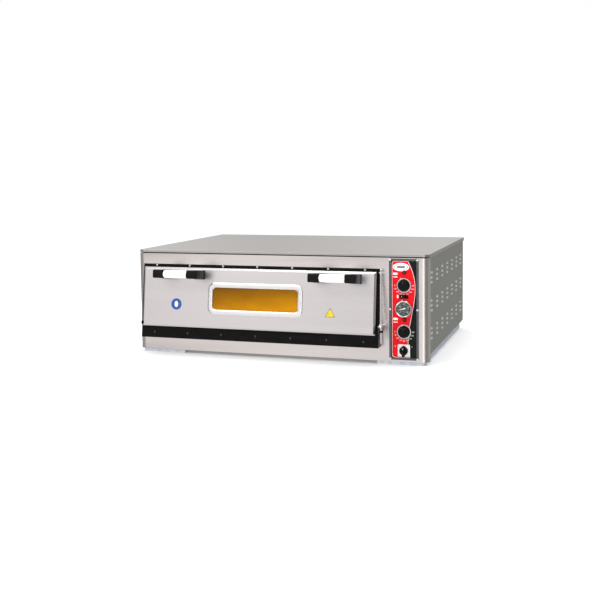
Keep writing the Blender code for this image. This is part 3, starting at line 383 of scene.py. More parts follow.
FRONT_STEEL = brushed_steel("front_steel", (0.78, 0.735, 0.72), 0.27, "X", 0.000008)
# The top's steel is a darker copy of the front's: painted shade for the dimmer light on the top.
TOP_SHADED_STEEL = brushed_steel("top_shaded_steel", (0.53, 0.515, 0.505), 0.33, "X")
DOOR_STEEL = brushed_steel("door_steel", (0.77, 0.74, 0.75), 0.30, "X", 0.00001)
TRIM_STEEL = plated("trim_steel", (0.97, 0.96, 0.97), 0.26, 0.000001)
# The louvre hoods' steel is a lighter copy of the side's: a painted highlight on the hoods.
LOUVRE_HIGHLIGHT_STEEL = brushed_steel("louvre_highlight_steel", (0.62, 0.62, 0.60), 0.38, "Z", metallic=0.55)
# The sides', back's and base's steel is a darker copy of the front's: painted shade for the dimmer light on those
# faces.
SHADED_SIDE_STEEL = brushed_steel("shaded_side_steel", (0.47, 0.47, 0.455), 0.46, "Z", 0.00006)
LINER_STEEL = brushed_steel("liner_steel", (0.34, 0.33, 0.31), 0.42, "X")
RING_STEEL = brushed_steel("ring_steel", (0.56, 0.56, 0.57), 0.24, "X")
FRAME_STEEL = brushed_steel("panel_frame_steel", (0.15, 0.155, 0.16), 0.30, "Z")
GALVANISED = galvanised_sheet()
CHROME = plated("chrome", (0.86, 0.86, 0.87), 0.07)
SCREW_STEEL = plated("screw_steel", (0.80, 0.80, 0.80), 0.22)
BLACK_SCREW = plated("black_screw", (0.10, 0.10, 0.095), 0.20)
ENAMEL = enamel()
BLACK_PLASTIC = moulded("black_plastic", (0.004, 0.004, 0.004), 0.36)
GLAZE = glazed()
RED_INK = printed_foil("red_ink", (0.78, 0.003, 0.008))
BLACK_INK = printed_foil("black_ink", (0.006, 0.007, 0.007), 0.30)
WHITE_INK = printed_foil("white_ink", (0.90, 0.88, 0.88))
GREY_INK = printed_foil("grey_ink", (0.16, 0.16, 0.17))
BLUE_INK = printed_foil("blue_ink", (0.040, 0.095, 0.34))
YELLOW_INK = printed_foil("yellow_ink", (0.72, 0.58, 0.04))
AMBER = amber_window()
CLEAR = clear_pane("clear_glass", 0.30)
DIAL_GLASS = clear_pane("dial_glass", 0.04)
DIAL = printed_foil("dial_green", (0.022, 0.040, 0.032), 0.45)
WHITE_PLASTIC = moulded("white_plastic", (0.86, 0.86, 0.85), 0.36, lift=1.05)
STONE = fireclay()
WOOL = mineral_wool()
HEATER = heater_sheath()
ROPE = woven_rope()
COPPER = plated("bare_copper", (0.72, 0.36, 0.20), 0.28)
CERAMIC = glazed_ceramic()
LENS = lamp_lens()


# ---- mesh helpers ----


def finish(name, bm, material, body, stands_for=(), matrix=None, sharp=32.0):
    """Makes a piece of the mesh, shades it smooth up to the sharp angle and lets it ride on a body."""
    bmesh.ops.remove_doubles(bm, verts=bm.verts, dist=1e-7)
    bmesh.ops.recalc_face_normals(bm, faces=bm.faces)
    mesh = bpy.data.meshes.new(name)
    bm.to_mesh(mesh)
    bm.free()
    if matrix is not None:
        mesh.transform(matrix)
    mesh.shade_smooth()
    mesh.set_sharp_from_angle(angle=math.radians(sharp))
    mesh.materials.append(material)
    made = bpy.data.objects.new(name, mesh)
    bpy.context.scene.collection.objects.link(made)
    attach(made, body)
    if stands_for:
        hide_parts(*stands_for)
    return made


def add_box(bm, low, high, radius, segments):
    """A box with every edge rounded."""
    made = bmesh.ops.create_cube(bm, size=1)["verts"]
    low, high = Vector(low), Vector(high)
    for vert in made:
        vert.co = low + Vector((a + 0.5) * b for a, b in zip(vert.co, high - low))
    edges = list({edge for vert in made for edge in vert.link_edges})
    bmesh.ops.bevel(bm, geom=edges, offset=radius, segments=segments, profile=0.5, affect="EDGES")


def add_lathe(bm, profile, segments=64, matrix=None, ripple=None):
    """Turns (radius, height) points about +Z. ripple(radius, height, angle) may change the radius."""
    rings = []
    for radius, height in profile:
        if radius < 1e-6:
            rings.append([bm.verts.new((0, 0, height))])
            continue
        ring = []
        for i in range(segments):
            angle = 2 * math.pi * i / segments
            r = ripple(radius, height, angle) if ripple else radius
            ring.append(bm.verts.new((r * math.cos(angle), r * math.sin(angle), height)))
        rings.append(ring)
    for above, below in zip(rings, rings[1:]):
        for i in range(segments):
            j = (i + 1) % segments
            if len(above) == 1 and len(below) == 1:
                continue
            if len(above) == 1:
                bm.faces.new((above[0], below[i], below[j]))
            elif len(below) == 1:
                bm.faces.new((above[i], above[j], below[0]))
            else:
                bm.faces.new((above[i], above[j], below[j], below[i]))
    if matrix is not None:
        made = [vert for ring in rings for vert in ring]
        bmesh.ops.transform(bm, matrix=matrix, verts=made)


def add_plate(bm, outline, bottom, top, matrix=None):
    """A flat shape, given by its (x, y) outline, from one height to another."""
    lower = [bm.verts.new((x, y, bottom)) for x, y in outline]
    upper = [bm.verts.new((x, y, top)) for x, y in outline]
    bm.faces.new(lower[::-1])
    bm.faces.new(upper)
    for i in range(len(outline)):
        j = (i + 1) % len(outline)
        bm.faces.new((lower[i], lower[j], upper[j], upper[i]))
    if matrix is not None:
        bmesh.ops.transform(bm, matrix=matrix, verts=lower + upper)


def arc_points(centre, radius, start, end, steps=8, stretch=1.0):
    """Points on an arc, in degrees; stretch scales it across."""
    found = []
    for i in range(steps + 1):
        angle = math.radians(start + (end - start) * i / steps)
        across, up = radius * stretch * math.cos(angle), radius * math.sin(angle)
        found.append((centre[0] + across, centre[1] + up))
    return found


def circle(radius, centre=(0, 0), stretch=1.0):
    """Outline of a circle, or of the ellipse that stretch makes of it."""
    return arc_points(centre, radius, 0, 354, 59, stretch)


def round_rect(width, height, radius, centre=(0, 0), steps=6):
    """Outline of a rectangle with round corners."""
    found = []
    for turn, (sx, sy) in enumerate(((1, 1), (-1, 1), (-1, -1), (1, -1))):
        corner = (centre[0] + sx * (width / 2 - radius), centre[1] + sy * (height / 2 - radius))
        found += arc_points(corner, radius, 90 * turn, 90 * turn + 90, steps)
    return found


def front_at(x, y, z):
    """Matrix that puts a shape drawn in its own XY plane on the front, with +Z out of the front."""
    return Matrix.Translation((x, y, z)) @ OUTWARD


def middle_of(node, y=PLATE_Y):
    """As front_at, for the middle of a node, on the control plate's face unless y is given."""
    low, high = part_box(node)
    return front_at((low.x + high.x) / 2, y, (low.z + high.z) / 2)


def on_door(across, up):
    """As front_at, for a point on the door's face, from the middle of its hinge."""
    return DOOR @ Matrix.Translation((across, HINGE_OUT - DOOR_FACE, up)) @ OUTWARD


def round_edges(made, width, segments=2, angle=30):
    """A bevel on the edges that turn by more than an angle."""
    edge = made.modifiers.new("soft_edges", "BEVEL")
    edge.width = width
    edge.segments = segments
    edge.limit_method = "ANGLE"
    edge.angle_limit = math.radians(angle)
    return edge


def evaluated_mesh(made):
    """A new mesh of an object as it is with its modifiers."""
    return bpy.data.meshes.new_from_object(made.evaluated_get(bpy.context.evaluated_depsgraph_get()))


def add_text(bm, words, size, depth, matrix):
    """Raised lettering, centred on the matrix's origin."""
    curve = bpy.data.curves.new("lettering", "FONT")
    curve.body = words
    curve.size = size
    curve.extrude = depth / 2
    curve.resolution_u = 3
    curve.align_x = "CENTER"
    curve.align_y = "CENTER"
    holder = bpy.data.objects.new("lettering", curve)
    bpy.context.scene.collection.objects.link(holder)
    bpy.context.view_layer.update()
    mesh = evaluated_mesh(holder)
    mesh.transform(matrix @ Matrix.Translation((0, 0, depth / 2)))
    bm.from_mesh(mesh)
    bpy.data.objects.remove(holder)
    bpy.data.curves.remove(curve)
    bpy.data.meshes.remove(mesh)


def scratch_object(name, bm):
    """An object of the mesh, for a step that needs one."""
    bmesh.ops.recalc_face_normals(bm, faces=bm.faces)
    mesh = bpy.data.meshes.new(name)
    bm.to_mesh(mesh)
    bm.free()
    made = bpy.data.objects.new(name, mesh)
    bpy.context.scene.collection.objects.link(made)
    return made


def screw_mesh(radius, height):
    """Mesh of one pan-head screw with a cross recess."""
    bm = bmesh.new()
    profile = [(0, height)]
    for i in range(1, 7):
        angle = math.radians(15 * i)
        profile.append((radius * (0.45 + 0.55 * math.sin(angle)), height * (0.35 + 0.65 * math.cos(angle))))
    profile += [(radius, 0), (0, 0)]
    add_lathe(bm, profile, 32)
    head = scratch_object("screw_head", bm)
    bm = bmesh.new()
    arm, wide, floor = radius * 0.58, radius * 0.13, height * 0.30
    cross = [(arm, wide), (wide, wide), (wide, arm), (-wide, arm), (-wide, wide), (-arm, wide),
             (-arm, -wide), (-wide, -wide), (-wide, -arm), (wide, -arm), (wide, -wide), (arm, -wide)]
    add_plate(bm, cross, floor, height * 2)
    cutter = scratch_object("screw_cross", bm)
    recess = head.modifiers.new("recess", "BOOLEAN")
    recess.operation = "DIFFERENCE"
    recess.object = cutter
    bpy.context.view_layer.update()
    cut = evaluated_mesh(head)
    bpy.data.objects.remove(head)
    bpy.data.objects.remove(cutter)
    return cut


def screws(name, places, radius, height, material, body):
    """One piece of several identical screw heads, each turned a little differently."""
    head = screw_mesh(radius, height)
    bm = bmesh.new()
    for i, place in enumerate(places):
        turned = head.copy()
        turned.transform(place @ Matrix.Rotation(math.radians(37 * i), 4, "Z"))
        bm.from_mesh(turned)
        bpy.data.meshes.remove(turned)
    bpy.data.meshes.remove(head)
    return finish(name, bm, material, body)


# ---- carried-over nodes ----

KEPT = {
    TOP_SHADED_STEEL: ["top_cover"],
    FRONT_STEEL: ["front_fascia", "rod_guide"],
    DOOR_STEEL: ["door_outer_panel"],
    SHADED_SIDE_STEEL: ["base_tray", "side_panel_left", "back_panel"],
    LINER_STEEL: ["chamber_liner", "stone_rail_front", "stone_rail_rear", "door_inner_pan"],
    GALVANISED: ["foot_rail_left", "foot_rail_right", "compartment_wall"],
    ENAMEL: ["mouth_frame", "door_axle"],
    STONE: ["deck_stone_left", "deck_stone_right"],
    HEATER: ["top_heater", "bottom_heater"],
    WOOL: ["insulation_top", "insulation_bottom", "insulation_wrap", "door_insulation"],
    CERAMIC: ["lamp_holder", "terminal_block"],
    CLEAR: ["lamp_glass", "window_glass_inner"],
    BLACK_PLASTIC: [
        "thermostat_upper", "thermostat_lower", "cable_gland", "rocker_housing", "cam_switch_body",
    ],
    COPPER: ["capillary_upper", "capillary_lower"],
    BLACK_INK: ["control_panel_plate"],
    FRAME_STEEL: ["control_panel_frame"],
    CHROME: ["gauge_case", "balance_rod"],
    DIAL_GLASS: ["gauge_glass"],
    DIAL: ["gauge_dial"],
    AMBER: ["window_glass_outer"],
    WHITE_PLASTIC: ["cam_switch_plate"],
}
SOFT_EDGED = {
    "top_cover": 0.0006, "mouth_frame": 0.0005, "door_outer_panel": 0.0004,
    "foot_rail_left": 0.0005, "foot_rail_right": 0.0005, "control_panel_frame": 0.0004,
    "control_panel_plate": 0.0003, "cam_switch_plate": 0.0005, "rocker_housing": 0.0003,
    "base_tray": 0.0004, "back_panel": 0.0004, "deck_stone_left": 0.0015, "deck_stone_right": 0.0015,
    "rod_guide": 0.0003, "terminal_block": 0.0006,
}


def dress_node(node, material):
    """Gives a CAD node its finish and welds its facets; softens the edges of the SOFT_EDGED ones and splits the rest at
    their sharp edges.
    """
    made = NODES[node]
    mesh = made.data
    mesh.materials.clear()
    mesh.materials.append(material)
    for name in ("custom_normal", "sharp_edge", "sharp_face"):
        if name in mesh.attributes:
            mesh.attributes.remove(mesh.attributes[name])
    mesh.shade_smooth()
    weld = made.modifiers.new("weld", "WELD")
    weld.merge_threshold = 0.00001
    if node in SOFT_EDGED:
        edge = round_edges(made, SOFT_EDGED[node], angle=35)
        edge.use_clamp_overlap = False
        flat = made.modifiers.new("flat_faces", "WEIGHTED_NORMAL")
        flat.keep_sharp = False
    else:
        crisp = made.modifiers.new("crisp", "EDGE_SPLIT")
        crisp.split_angle = math.radians(33)


def dress_nodes():
    for material, names in KEPT.items():
        for node in names:
            dress_node(node, material)


# ---- casing ----

LOUVRE_START = 0.071
LOUVRE_PITCH = 0.1203
LOUVRE_COLUMNS = 7
LOUVRE_TOP_Z = 0.343
LOUVRE_ROW = 0.0184
LOUVRE_GROUP = 0.1055
LOUVRE_LENGTH = 0.034
LOUVRE_HEIGHT = 0.0080
LOUVRE_RISE = 0.0034
LOUVRE_PROUD = 0.003  # how far the CAD panel's louvres stand out of its face
SIDE_RETURN = 0.012

MOUTH_TOP = 0.360
MOUTH_BOTTOM = 0.066
MOUTH_PROUD = 0.003
MOUTH_SCREWS = 7
SCREW_INSET = 0.058
SCREW_DROP = 0.0058
SCREW_RISE = 0.022
BACK_SCREWS = 6


def louvred_panel():
    """Right-hand side sheet, with a pressed hood and an open slot at each louvre."""
    low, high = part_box("side_panel_right")
    face_x = high.x - LOUVRE_PROUD
    columns, rows = 12, 6
    y_lines, z_lines = [(low.y, None)], [(low.z, None)]
    for column in range(LOUVRE_COLUMNS):
        start = FRONT_Y + LOUVRE_START + LOUVRE_PITCH * column - LOUVRE_LENGTH / 2
        y_lines += [(start + LOUVRE_LENGTH * i / columns, i / columns) for i in range(columns + 1)]
    levels = [LOUVRE_TOP_Z - LOUVRE_GROUP * g - LOUVRE_ROW * r for g in range(3) for r in range(3)]
    for level in sorted(levels):
        start = level - LOUVRE_HEIGHT / 2
        z_lines += [(start + LOUVRE_HEIGHT * i / rows, i / rows) for i in range(rows + 1)]
    y_lines.append((high.y, None))
    z_lines.append((high.z, None))
    bm = bmesh.new()
    flat, lifted = {}, {}

    def lift(u, v):
        across = math.sqrt(1 - min(1, abs(2 * u - 1)) ** 2.4)
        return LOUVRE_RISE * across * math.cos(v * math.pi / 2) ** 0.8

    for i, (y, u) in enumerate(y_lines):
        for j, (z, v) in enumerate(z_lines):
            inside = u is not None and v is not None
            rise = lift(u, v) if inside and v > 0 else 0
            flat[i, j] = bm.verts.new((face_x + rise, y, z))
            lip = inside and v == 0 and 0 < u < 1
            lifted[i, j] = bm.verts.new((face_x + lift(u, 0), y, z)) if lip else flat[i, j]
    for i in range(len(y_lines) - 1):
        for j in range(len(z_lines) - 1):
            u0, u1 = y_lines[i][1], y_lines[i + 1][1]
            v0 = z_lines[j][1]
            hood = None not in (u0, u1, v0) and u1 > u0 and v0 < 1 and z_lines[j + 1][1] is not None
            bottom = lifted if hood and v0 == 0 else flat
            corners = [bottom[i, j], bottom[i + 1, j], flat[i + 1, j + 1], flat[i, j + 1]]
            bm.faces.new(corners).material_index = 1 if hood else 0
    rim = [edge for edge in bm.edges if edge.is_boundary and (
        all(abs(vert.co.y - low.y) < 1e-6 for vert in edge.verts)
        or all(abs(vert.co.z - low.z) < 1e-6 for vert in edge.verts))]
    turned = bmesh.ops.extrude_edge_only(bm, edges=rim)["geom"]
    for vert in (g for g in turned if isinstance(g, bmesh.types.BMVert)):
        vert.co.x -= SIDE_RETURN
    bmesh.ops.recalc_face_normals(bm, faces=bm.faces)
    made = finish("side_panel_right_louvred", bm, SHADED_SIDE_STEEL, "casing",
                  ["side_panel_right"], sharp=60)
    # the hoods take the lighter steel: a painted highlight on them
    made.data.materials.append(LOUVRE_HIGHLIGHT_STEEL)
    for poly in made.data.polygons:
        poly.use_smooth = poly.material_index == 1
    outward = sum(poly.normal.x * poly.area for poly in made.data.polygons)
    if outward < 0:
        made.data.flip_normals()
    sheet = made.modifiers.new("sheet", "SOLIDIFY")
    sheet.thickness = 0.0011
    sheet.offset = -1


def mouth_screws():
    """Two rows of screws on the mouth frame, whose front leans back from bottom to top."""
    low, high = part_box("mouth_frame")
    first, last = low.x + GAP + SCREW_INSET, high.x - GAP - SCREW_INSET
    rows = (("top", MOUTH_TOP - SCREW_DROP, SCREW_STEEL),
            ("bottom", MOUTH_BOTTOM + SCREW_RISE, BLACK_SCREW))
    for word, z, metal in rows:
        y = FRONT_Y - MOUTH_PROUD - (MOUTH_TOP - z) * math.tan(LEAN)
        places = []
        for i in range(MOUTH_SCREWS):
            x = first + (last - first) * i / (MOUTH_SCREWS - 1)
            places.append(Matrix.Translation((x, y, z)) @ Matrix.Rotation(-LEAN, 4, "X") @ OUTWARD)
        screws("mouth_screws_" + word, places, 0.0046, 0.0030, metal, "casing")


def control_frame_screws():
    low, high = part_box("control_panel_frame")
    inset = 0.004
    places = [front_at(x, low.y + 0.0015, z) for x in (low.x + inset, high.x - inset)
              for z in (low.z + inset, (low.z + high.z) / 2, high.z - inset)]
    screws("control_frame_screws", places, 0.0037, 0.0021, WHITE_PLASTIC, "casing")


def back_screws():
    low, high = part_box("back_panel")
    inset, under_lid = 0.014, 0.012
    backward = Matrix.Rotation(math.radians(-90), 4, "X")
    first, last = low.x + inset, high.x - inset
    places = []
    for z in (low.z + inset, high.z - inset - under_lid):
        for i in range(BACK_SCREWS):
            x = first + (last - first) * i / (BACK_SCREWS - 1)
            places.append(Matrix.Translation((x, high.y, z)) @ backward)
    screws("back_screws", places, 0.0042, 0.0020, SCREW_STEEL, "casing")


# ---- control column ----


def red_field(grow):
    """Outline of the red field about the panel's centre, grown by the outline's width."""
    left, top, bottom = -0.0437 - grow, 0.1795 + grow, -0.1795 - grow
    corner = 0.010
    outline = arc_points((left + corner, top - corner), corner, 90, 180, 6)
    outline += arc_points((left + corner, bottom + corner), corner, 180, 270, 6)
    outline += [(0.0215 + grow, bottom), (0.0215 + grow, bottom + 0.006)]
    steps = 30
    low_z, peak_z = -0.1600, 0.080
    for i in range(steps + 1):
        share = i / steps
        z = low_z + (peak_z - low_z) * share
        x = 0.0145 + 0.0275 * (1 - math.cos(math.pi * share ** 1.25)) / 2
        outline.append((x + grow, z))
    for i in range(1, 17):
        share = i / 16
        z = peak_z + (top - peak_z) * share
        outline.append((0.042 - 0.027 * share * share + grow, z))
    return outline


def control_print():
    """The printed foil's fields and marks, each a film of its own thickness on the plate."""
    at = front_at(PANEL.x, PLATE_Y, PANEL.z)
    bm = bmesh.new()
    add_plate(bm, red_field(0.0014), 0, PRINT, at)
    finish("print_outline", bm, WHITE_INK, "casing")
    bm = bmesh.new()
    add_plate(bm, red_field(0), 0, PRINT * 2, at)
    finish("print_red_field", bm, RED_INK, "casing")
    bm = bmesh.new()
    badge = (-0.0105, 0.1590)
    add_plate(bm, circle(0.0155, badge, 2.0), 0, PRINT * 3, at)
    for low_z, height, width in ((0.1335, 0.0085, 0.0180), (0.1215, 0.0030, 0.0165),
                                 (-0.0360, 0.0085, 0.0180), (-0.0480, 0.0030, 0.0165)):
        centre = (-0.0320, low_z)
        add_plate(bm, round_rect(width, height, height * 0.4, centre, 4), 0, PRINT * 3, at)
    add_plate(bm, round_rect(0.0060, 0.0120, 0.002, (-0.0235, 0.0485), 4), 0, PRINT * 3, at)
    for knob in ("knob_upper", "knob_lower"):
        low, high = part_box(knob)
        centre_z = (low.z + high.z) / 2 - PANEL.z - 0.0002
        for i in range(9):
            angle = math.radians(180 + 22.5 * i)
            place = Matrix.Translation((0.0345 * math.cos(angle), centre_z + 0.0345 * math.sin(angle), 0))
            add_text(bm, str(50 * i), 0.0068, PRINT * 3, at @ place)
    for figure, x in (("0", -0.0330), ("1", 0.0300)):
        add_text(bm, figure, 0.0080, PRINT * 3, at @ Matrix.Translation((x, -0.1390, 0)))
    finish("print_white_marks", bm, WHITE_INK, "casing")
    bm = bmesh.new()
    ring_out = arc_points(badge, 0.0118, 0, 354, 59, 2.15)
    ring_in = arc_points(badge, 0.0108, 0, 354, 59, 2.2)
    count = len(ring_out)
    for level in (PRINT * 3, PRINT * 3.6):
        loops = [[bm.verts.new((x, y, level)) for x, y in ring] for ring in (ring_out, ring_in)]
        for i in range(count):
            j = (i + 1) % count
            bm.faces.new((loops[0][i], loops[0][j], loops[1][j], loops[1][i]))
    bmesh.ops.transform(bm, matrix=at, verts=bm.verts)
    add_plate(bm, round_rect(0.030, 0.0075, 0.0035, badge, 6), 0, PRINT * 3.6, at)
    finish("print_badge_bar", bm, GREY_INK, "casing")


def pilot_lamps():
    """Domed lenses in black collars."""
    for level in ("upper", "lower"):
        at = middle_of("pilot_lamp_" + level)
        bm = bmesh.new()
        profile = [(0, 0.0066), (0.0022, 0.0063), (0.0040, 0.0054), (0.0050, 0.0040), (0.0052, 0.0026),
                   (0.0052, -0.010), (0, -0.010)]
        add_lathe(bm, profile, 48, at)
        finish("pilot_lens_" + level, bm, LENS, "casing", ["pilot_lamp_" + level])
        bm = bmesh.new()
        collar = [(0.0053, 0.0024), (0.0058, 0.0030), (0.0068, 0.0028), (0.0074, 0.0018), (0.0075, 0.0003),
                  (0.0053, 0.0003), (0.0053, 0.0024)]
        add_lathe(bm, collar, 48, at)
        finish("pilot_collar_" + level, bm, BLACK_PLASTIC, "casing")


def thermostat_knobs():
    """Fluted knobs with a pointer, over a turned metal ring."""

    def fluted(radius, height, angle):
        grip = 0.0085 < height < 0.0200
        return radius - (0.0007 * (0.5 + 0.5 * math.cos(24 * angle)) ** 3 if grip else 0)

    for level in ("upper", "lower"):
        at = middle_of("knob_ring_" + level)
        bm = bmesh.new()
        ring = [(0.0232, 0.0029), (0.0240, 0.0031), (0.0256, 0.0031), (0.0272, 0.0024), (0.0279, 0.0012),
                (0.0280, 0.0003), (0.0060, 0.0003), (0.0060, 0.0026), (0.0232, 0.0029)]
        add_lathe(bm, ring, 96, at)
        finish("scale_ring_" + level, bm, RING_STEEL, "casing", ["knob_ring_" + level])
        bm = bmesh.new()
        profile = [(0, 0.0205), (0.0128, 0.0203), (0.0138, 0.0214), (0.0158, 0.0218), (0.0170, 0.0210),
                   (0.0174, 0.0195), (0.0178, 0.0150), (0.0182, 0.0095), (0.0188, 0.0075), (0.0205, 0.0068),
                   (0.0220, 0.0062), (0.0225, 0.0050), (0.0225, 0.0036), (0.0034, 0.0036), (0.0034, 0.0150),
                   (0, 0.0150)]
        add_lathe(bm, profile, 144, at, fluted)
        bar = [(-0.0030, -0.0120), (0.0030, -0.0120), (0.0022, 0.0120), (0, 0.0150), (-0.0022, 0.0120)]
        add_plate(bm, bar, 0.0180, 0.0219, at)
        nose = [(-0.0026, 0.0215), (0.0026, 0.0215), (0.0008, 0.0242), (-0.0008, 0.0242)]
        add_plate(bm, nose, 0.0037, 0.0080, at)
        finish("thermostat_knob_" + level, bm, BLACK_PLASTIC, "knob_" + level, ["knob_" + level])
        bm = bmesh.new()
        add_plate(bm, round_rect(0.0008, 0.0060, 0.0003, (0, 0.0105), 3), 0.0217, 0.0220, at)
        finish("knob_pointer_" + level, bm, GREY_INK, "knob_" + level)


GAUGE_REST = -106


def gauge():
    """Figures, marks and hand of the dial thermometer."""
    low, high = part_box("gauge_case")
    centre = ((low.x + high.x) / 2, PLATE_Y, (low.z + high.z) / 2)
    at = front_at(*centre)
    bm = bmesh.new()
    face = 0.0013
    for i in range(41):
        angle = math.radians(225 - 270 * i / 40)
        long_mark = i % 10 == 0
        outer, inner = 0.0252, 0.0218 if long_mark else 0.0236
        half = 0.00042 if long_mark else 0.00020
        turn = Matrix.Rotation(angle, 4, "Z")
        mark = [(inner, -half), (outer, -half), (outer, half), (inner, half)]
        add_plate(bm, mark, face - 0.0001, face, at @ turn)
        if long_mark:
            place = Matrix.Translation((0.0176 * math.cos(angle), 0.0176 * math.sin(angle), face - 0.0001))
            add_text(bm, str(10 * i), 0.0049, 0.0001, at @ place)
    finish("gauge_scale", bm, WHITE_INK, "casing")
    rest = math.radians(GAUGE_REST)
    bm = bmesh.new()
    hand = [(-0.0006, 0.0215), (0.0006, 0.0215), (0.0015, 0.0030), (0.0018, -0.0060), (0, -0.0075),
            (-0.0018, -0.0060), (-0.0015, 0.0030)]
    turn = Matrix.Rotation(-rest, 4, "Z")
    add_plate(bm, hand, 0.0026, 0.0034, at @ turn)
    add_lathe(bm, [(0, 0.0042), (0.0016, 0.0041), (0.0026, 0.0034), (0.0028, 0.0022), (0, 0.0022)], 32, at)
    finish("gauge_hand", bm, WHITE_PLASTIC, "gauge_needle", ["gauge_needle"])
    bm = bmesh.new()
    bezel = [(0.0268, 0.0098), (0.0276, 0.0108), (0.0290, 0.0118), (0.0303, 0.0118), (0.0312, 0.0108),
             (0.0315, 0.0090), (0.0315, 0.0003), (0.0300, 0.0003), (0.0300, 0.0080), (0.0268, 0.0088),
             (0.0268, 0.0098)]
    add_lathe(bm, bezel, 96, at)
    finish("gauge_bezel", bm, CHROME, "casing")


def rocker():
    """Rocker cap with its dished faces and a plain bar on one of them."""
    pivot = Vector(JOINTS["rocker_press"]["pos_m"])
    tilt = Matrix.Rotation(math.radians(-10), 4, "Z")
    at = Matrix.Translation(pivot) @ tilt
    bm = bmesh.new()
    section = []
    for i in range(13):
        x = -0.0121 + 0.0242 * i / 12
        section.append((x, -0.0018 - 0.0022 * abs(x / 0.0121) ** 1.7))
    section += [(0.0121, 0.0012), (0, 0.0034), (-0.0121, 0.0012)]
    add_plate(bm, section, -0.0045, 0.0045, at)
    cap = finish("rocker_cap", bm, BLACK_PLASTIC, "rocker", ["rocker"])
    round_edges(cap, 0.0004)
    bm = bmesh.new()
    mark = Matrix.Translation((-0.0082, -0.00315, 0)) @ Matrix.Rotation(math.radians(-13), 4, "Z") @ OUTWARD
    add_plate(bm, round_rect(0.0012, 0.0056, 0.0004, (0, 0), 3), 0, 0.0002, at @ mark)
    finish("rocker_mark", bm, WHITE_INK, "rocker")


def cam_switch():
    """Main switch: round hub with a pointed top and a lever that reaches down."""
    at = middle_of("cam_switch_plate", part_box("cam_switch_plate")[0].y)
    outline = arc_points((0, 0), 0.0160, 55, -70, 16) + [(0.0048, -0.0160)]
    outline += arc_points((0, -0.0200), 0.0042, 0, -180, 8) + [(-0.0048, -0.0160)]
    outline += arc_points((0, 0), 0.0160, -110, -235, 16) + [(0, 0.0205)]
    bm = bmesh.new()
    add_plate(bm, outline, 0.0006, 0.0100, at)
    lever = finish(
        "main_switch_lever", bm, BLACK_PLASTIC, "cam_switch_knob", ["cam_switch_knob"]
    )
    round_edges(lever, 0.0016, 4, 50)
    bm = bmesh.new()
    ridge = [(-0.0040, -0.0205), (0.0040, -0.0205), (0.0040, 0.0120), (0, 0.0175), (-0.0040, 0.0120)]
    add_plate(bm, ridge, 0.0090, 0.0225, at)
    ridge = finish("main_switch_ridge", bm, BLACK_PLASTIC, "cam_switch_knob")
    round_edges(ridge, 0.0016, 4)
    bm = bmesh.new()
    add_plate(bm, round_rect(0.0018, 0.0045, 0.0006, (0, 0.0095), 4), 0.0224, 0.0227, at)
    finish("main_switch_pointer", bm, WHITE_INK, "cam_switch_knob")
    places = [at @ Matrix.Translation((sx * 0.0185, sz * 0.0185, 0)) for sx in (-1, 1) for sz in (-1, 1)]
    screws("cam_plate_screws", places, 0.0020, 0.0008, SCREW_STEEL, "casing")


# ---- door ----

HANDLE_X = 0.318
HANDLE_SHIFT = 0.012
HANDLE_UP = 0.196
HANDLE_LENGTH = 0.186
HANDLE_BLOCK = 0.043
HANDLE_TALL = 0.033
HANDLE_AXIS = 0.088
HANDLE_FRONT = 0.105
GRIP_R = 0.016


def handle(side, word):
    """Two brackets with their feet and screws, and between them a glazed grip on a rod."""
    x = HANDLE_SHIFT + side * HANDLE_X
    half = HANDLE_LENGTH / 2
    bm = bmesh.new()
    spots = []
    for end in (-1, 1):
        a, b = x + end * half, x + end * (half - HANDLE_BLOCK)
        left, right = min(a, b), max(a, b)
        up_low, up_high = HANDLE_UP - HANDLE_TALL / 2, HANDLE_UP + HANDLE_TALL / 2
        front = HINGE_OUT - HANDLE_FRONT + 0.0010
        add_box(bm, (left, front, up_low), (right, HINGE_OUT - 0.0225, up_high), 0.0045, 4)
        add_box(bm, (left - 0.0012, HINGE_OUT - 0.0245, up_low - 0.0012),
                (right + 0.0012, HINGE_OUT - DOOR_FACE - 0.0001, up_high + 0.0012), 0.0010, 2)
        middle = (left + right) / 2
        spots.append(DOOR @ Matrix.Translation((middle, front + 0.0003, HANDLE_UP)) @ OUTWARD)
        spots.append(DOOR @ Matrix.Translation((middle, HINGE_OUT - 0.060, up_high - 0.0003)))
    finish("handle_brackets_" + word, bm, BLACK_PLASTIC, "door",
           ["handle_frame_" + word], DOOR, 35)
    screws("handle_screws_" + word, spots, 0.0036, 0.0012, BLACK_PLASTIC, "door")
    reach = half - HANDLE_BLOCK
    axis = DOOR @ Matrix.Translation((x, HINGE_OUT - HANDLE_AXIS, HANDLE_UP))
    axis = axis @ Matrix.Rotation(math.radians(90), 4, "Y")
    bm = bmesh.new()
    rim = [(0.0054, 0.0014), (0.0130, 0.0014), (0.0146, 0.0020), (0.0154, 0.0040)]
    profile = [(radius, reach - inset) for radius, inset in rim]
    for i in range(1, 12):
        z = (reach - 0.006) * (1 - 2 * i / 12)
        profile.append((GRIP_R - 0.0005 + 0.0005 * math.cos(z / reach * math.pi / 2), z))
    profile += [(radius, inset - reach) for radius, inset in reversed(rim)]
    profile.append(profile[0])
    add_lathe(bm, profile, 64, axis)
    finish("handle_grip_glazed_" + word, bm, GLAZE, "door", ["handle_grip_" + word])
    bm = bmesh.new()
    for end in (-1, 1):
        cap = [(0.0052, end * (reach - 0.0013)), (0.0112, end * (reach - 0.0013)), (0.0116, end * (reach - 0.0008)),
               (0.0116, end * (reach + 0.0004)), (0.0052, end * (reach + 0.0004)), (0.0052, end * (reach - 0.0013))]
        add_lathe(bm, cap, 48, axis)
    add_lathe(bm, [(0, reach + 0.002), (0.0050, reach + 0.002), (0.0050, -reach - 0.002), (0, -reach - 0.002)], 32, axis)
    finish("handle_rod_" + word, bm, CHROME, "door")


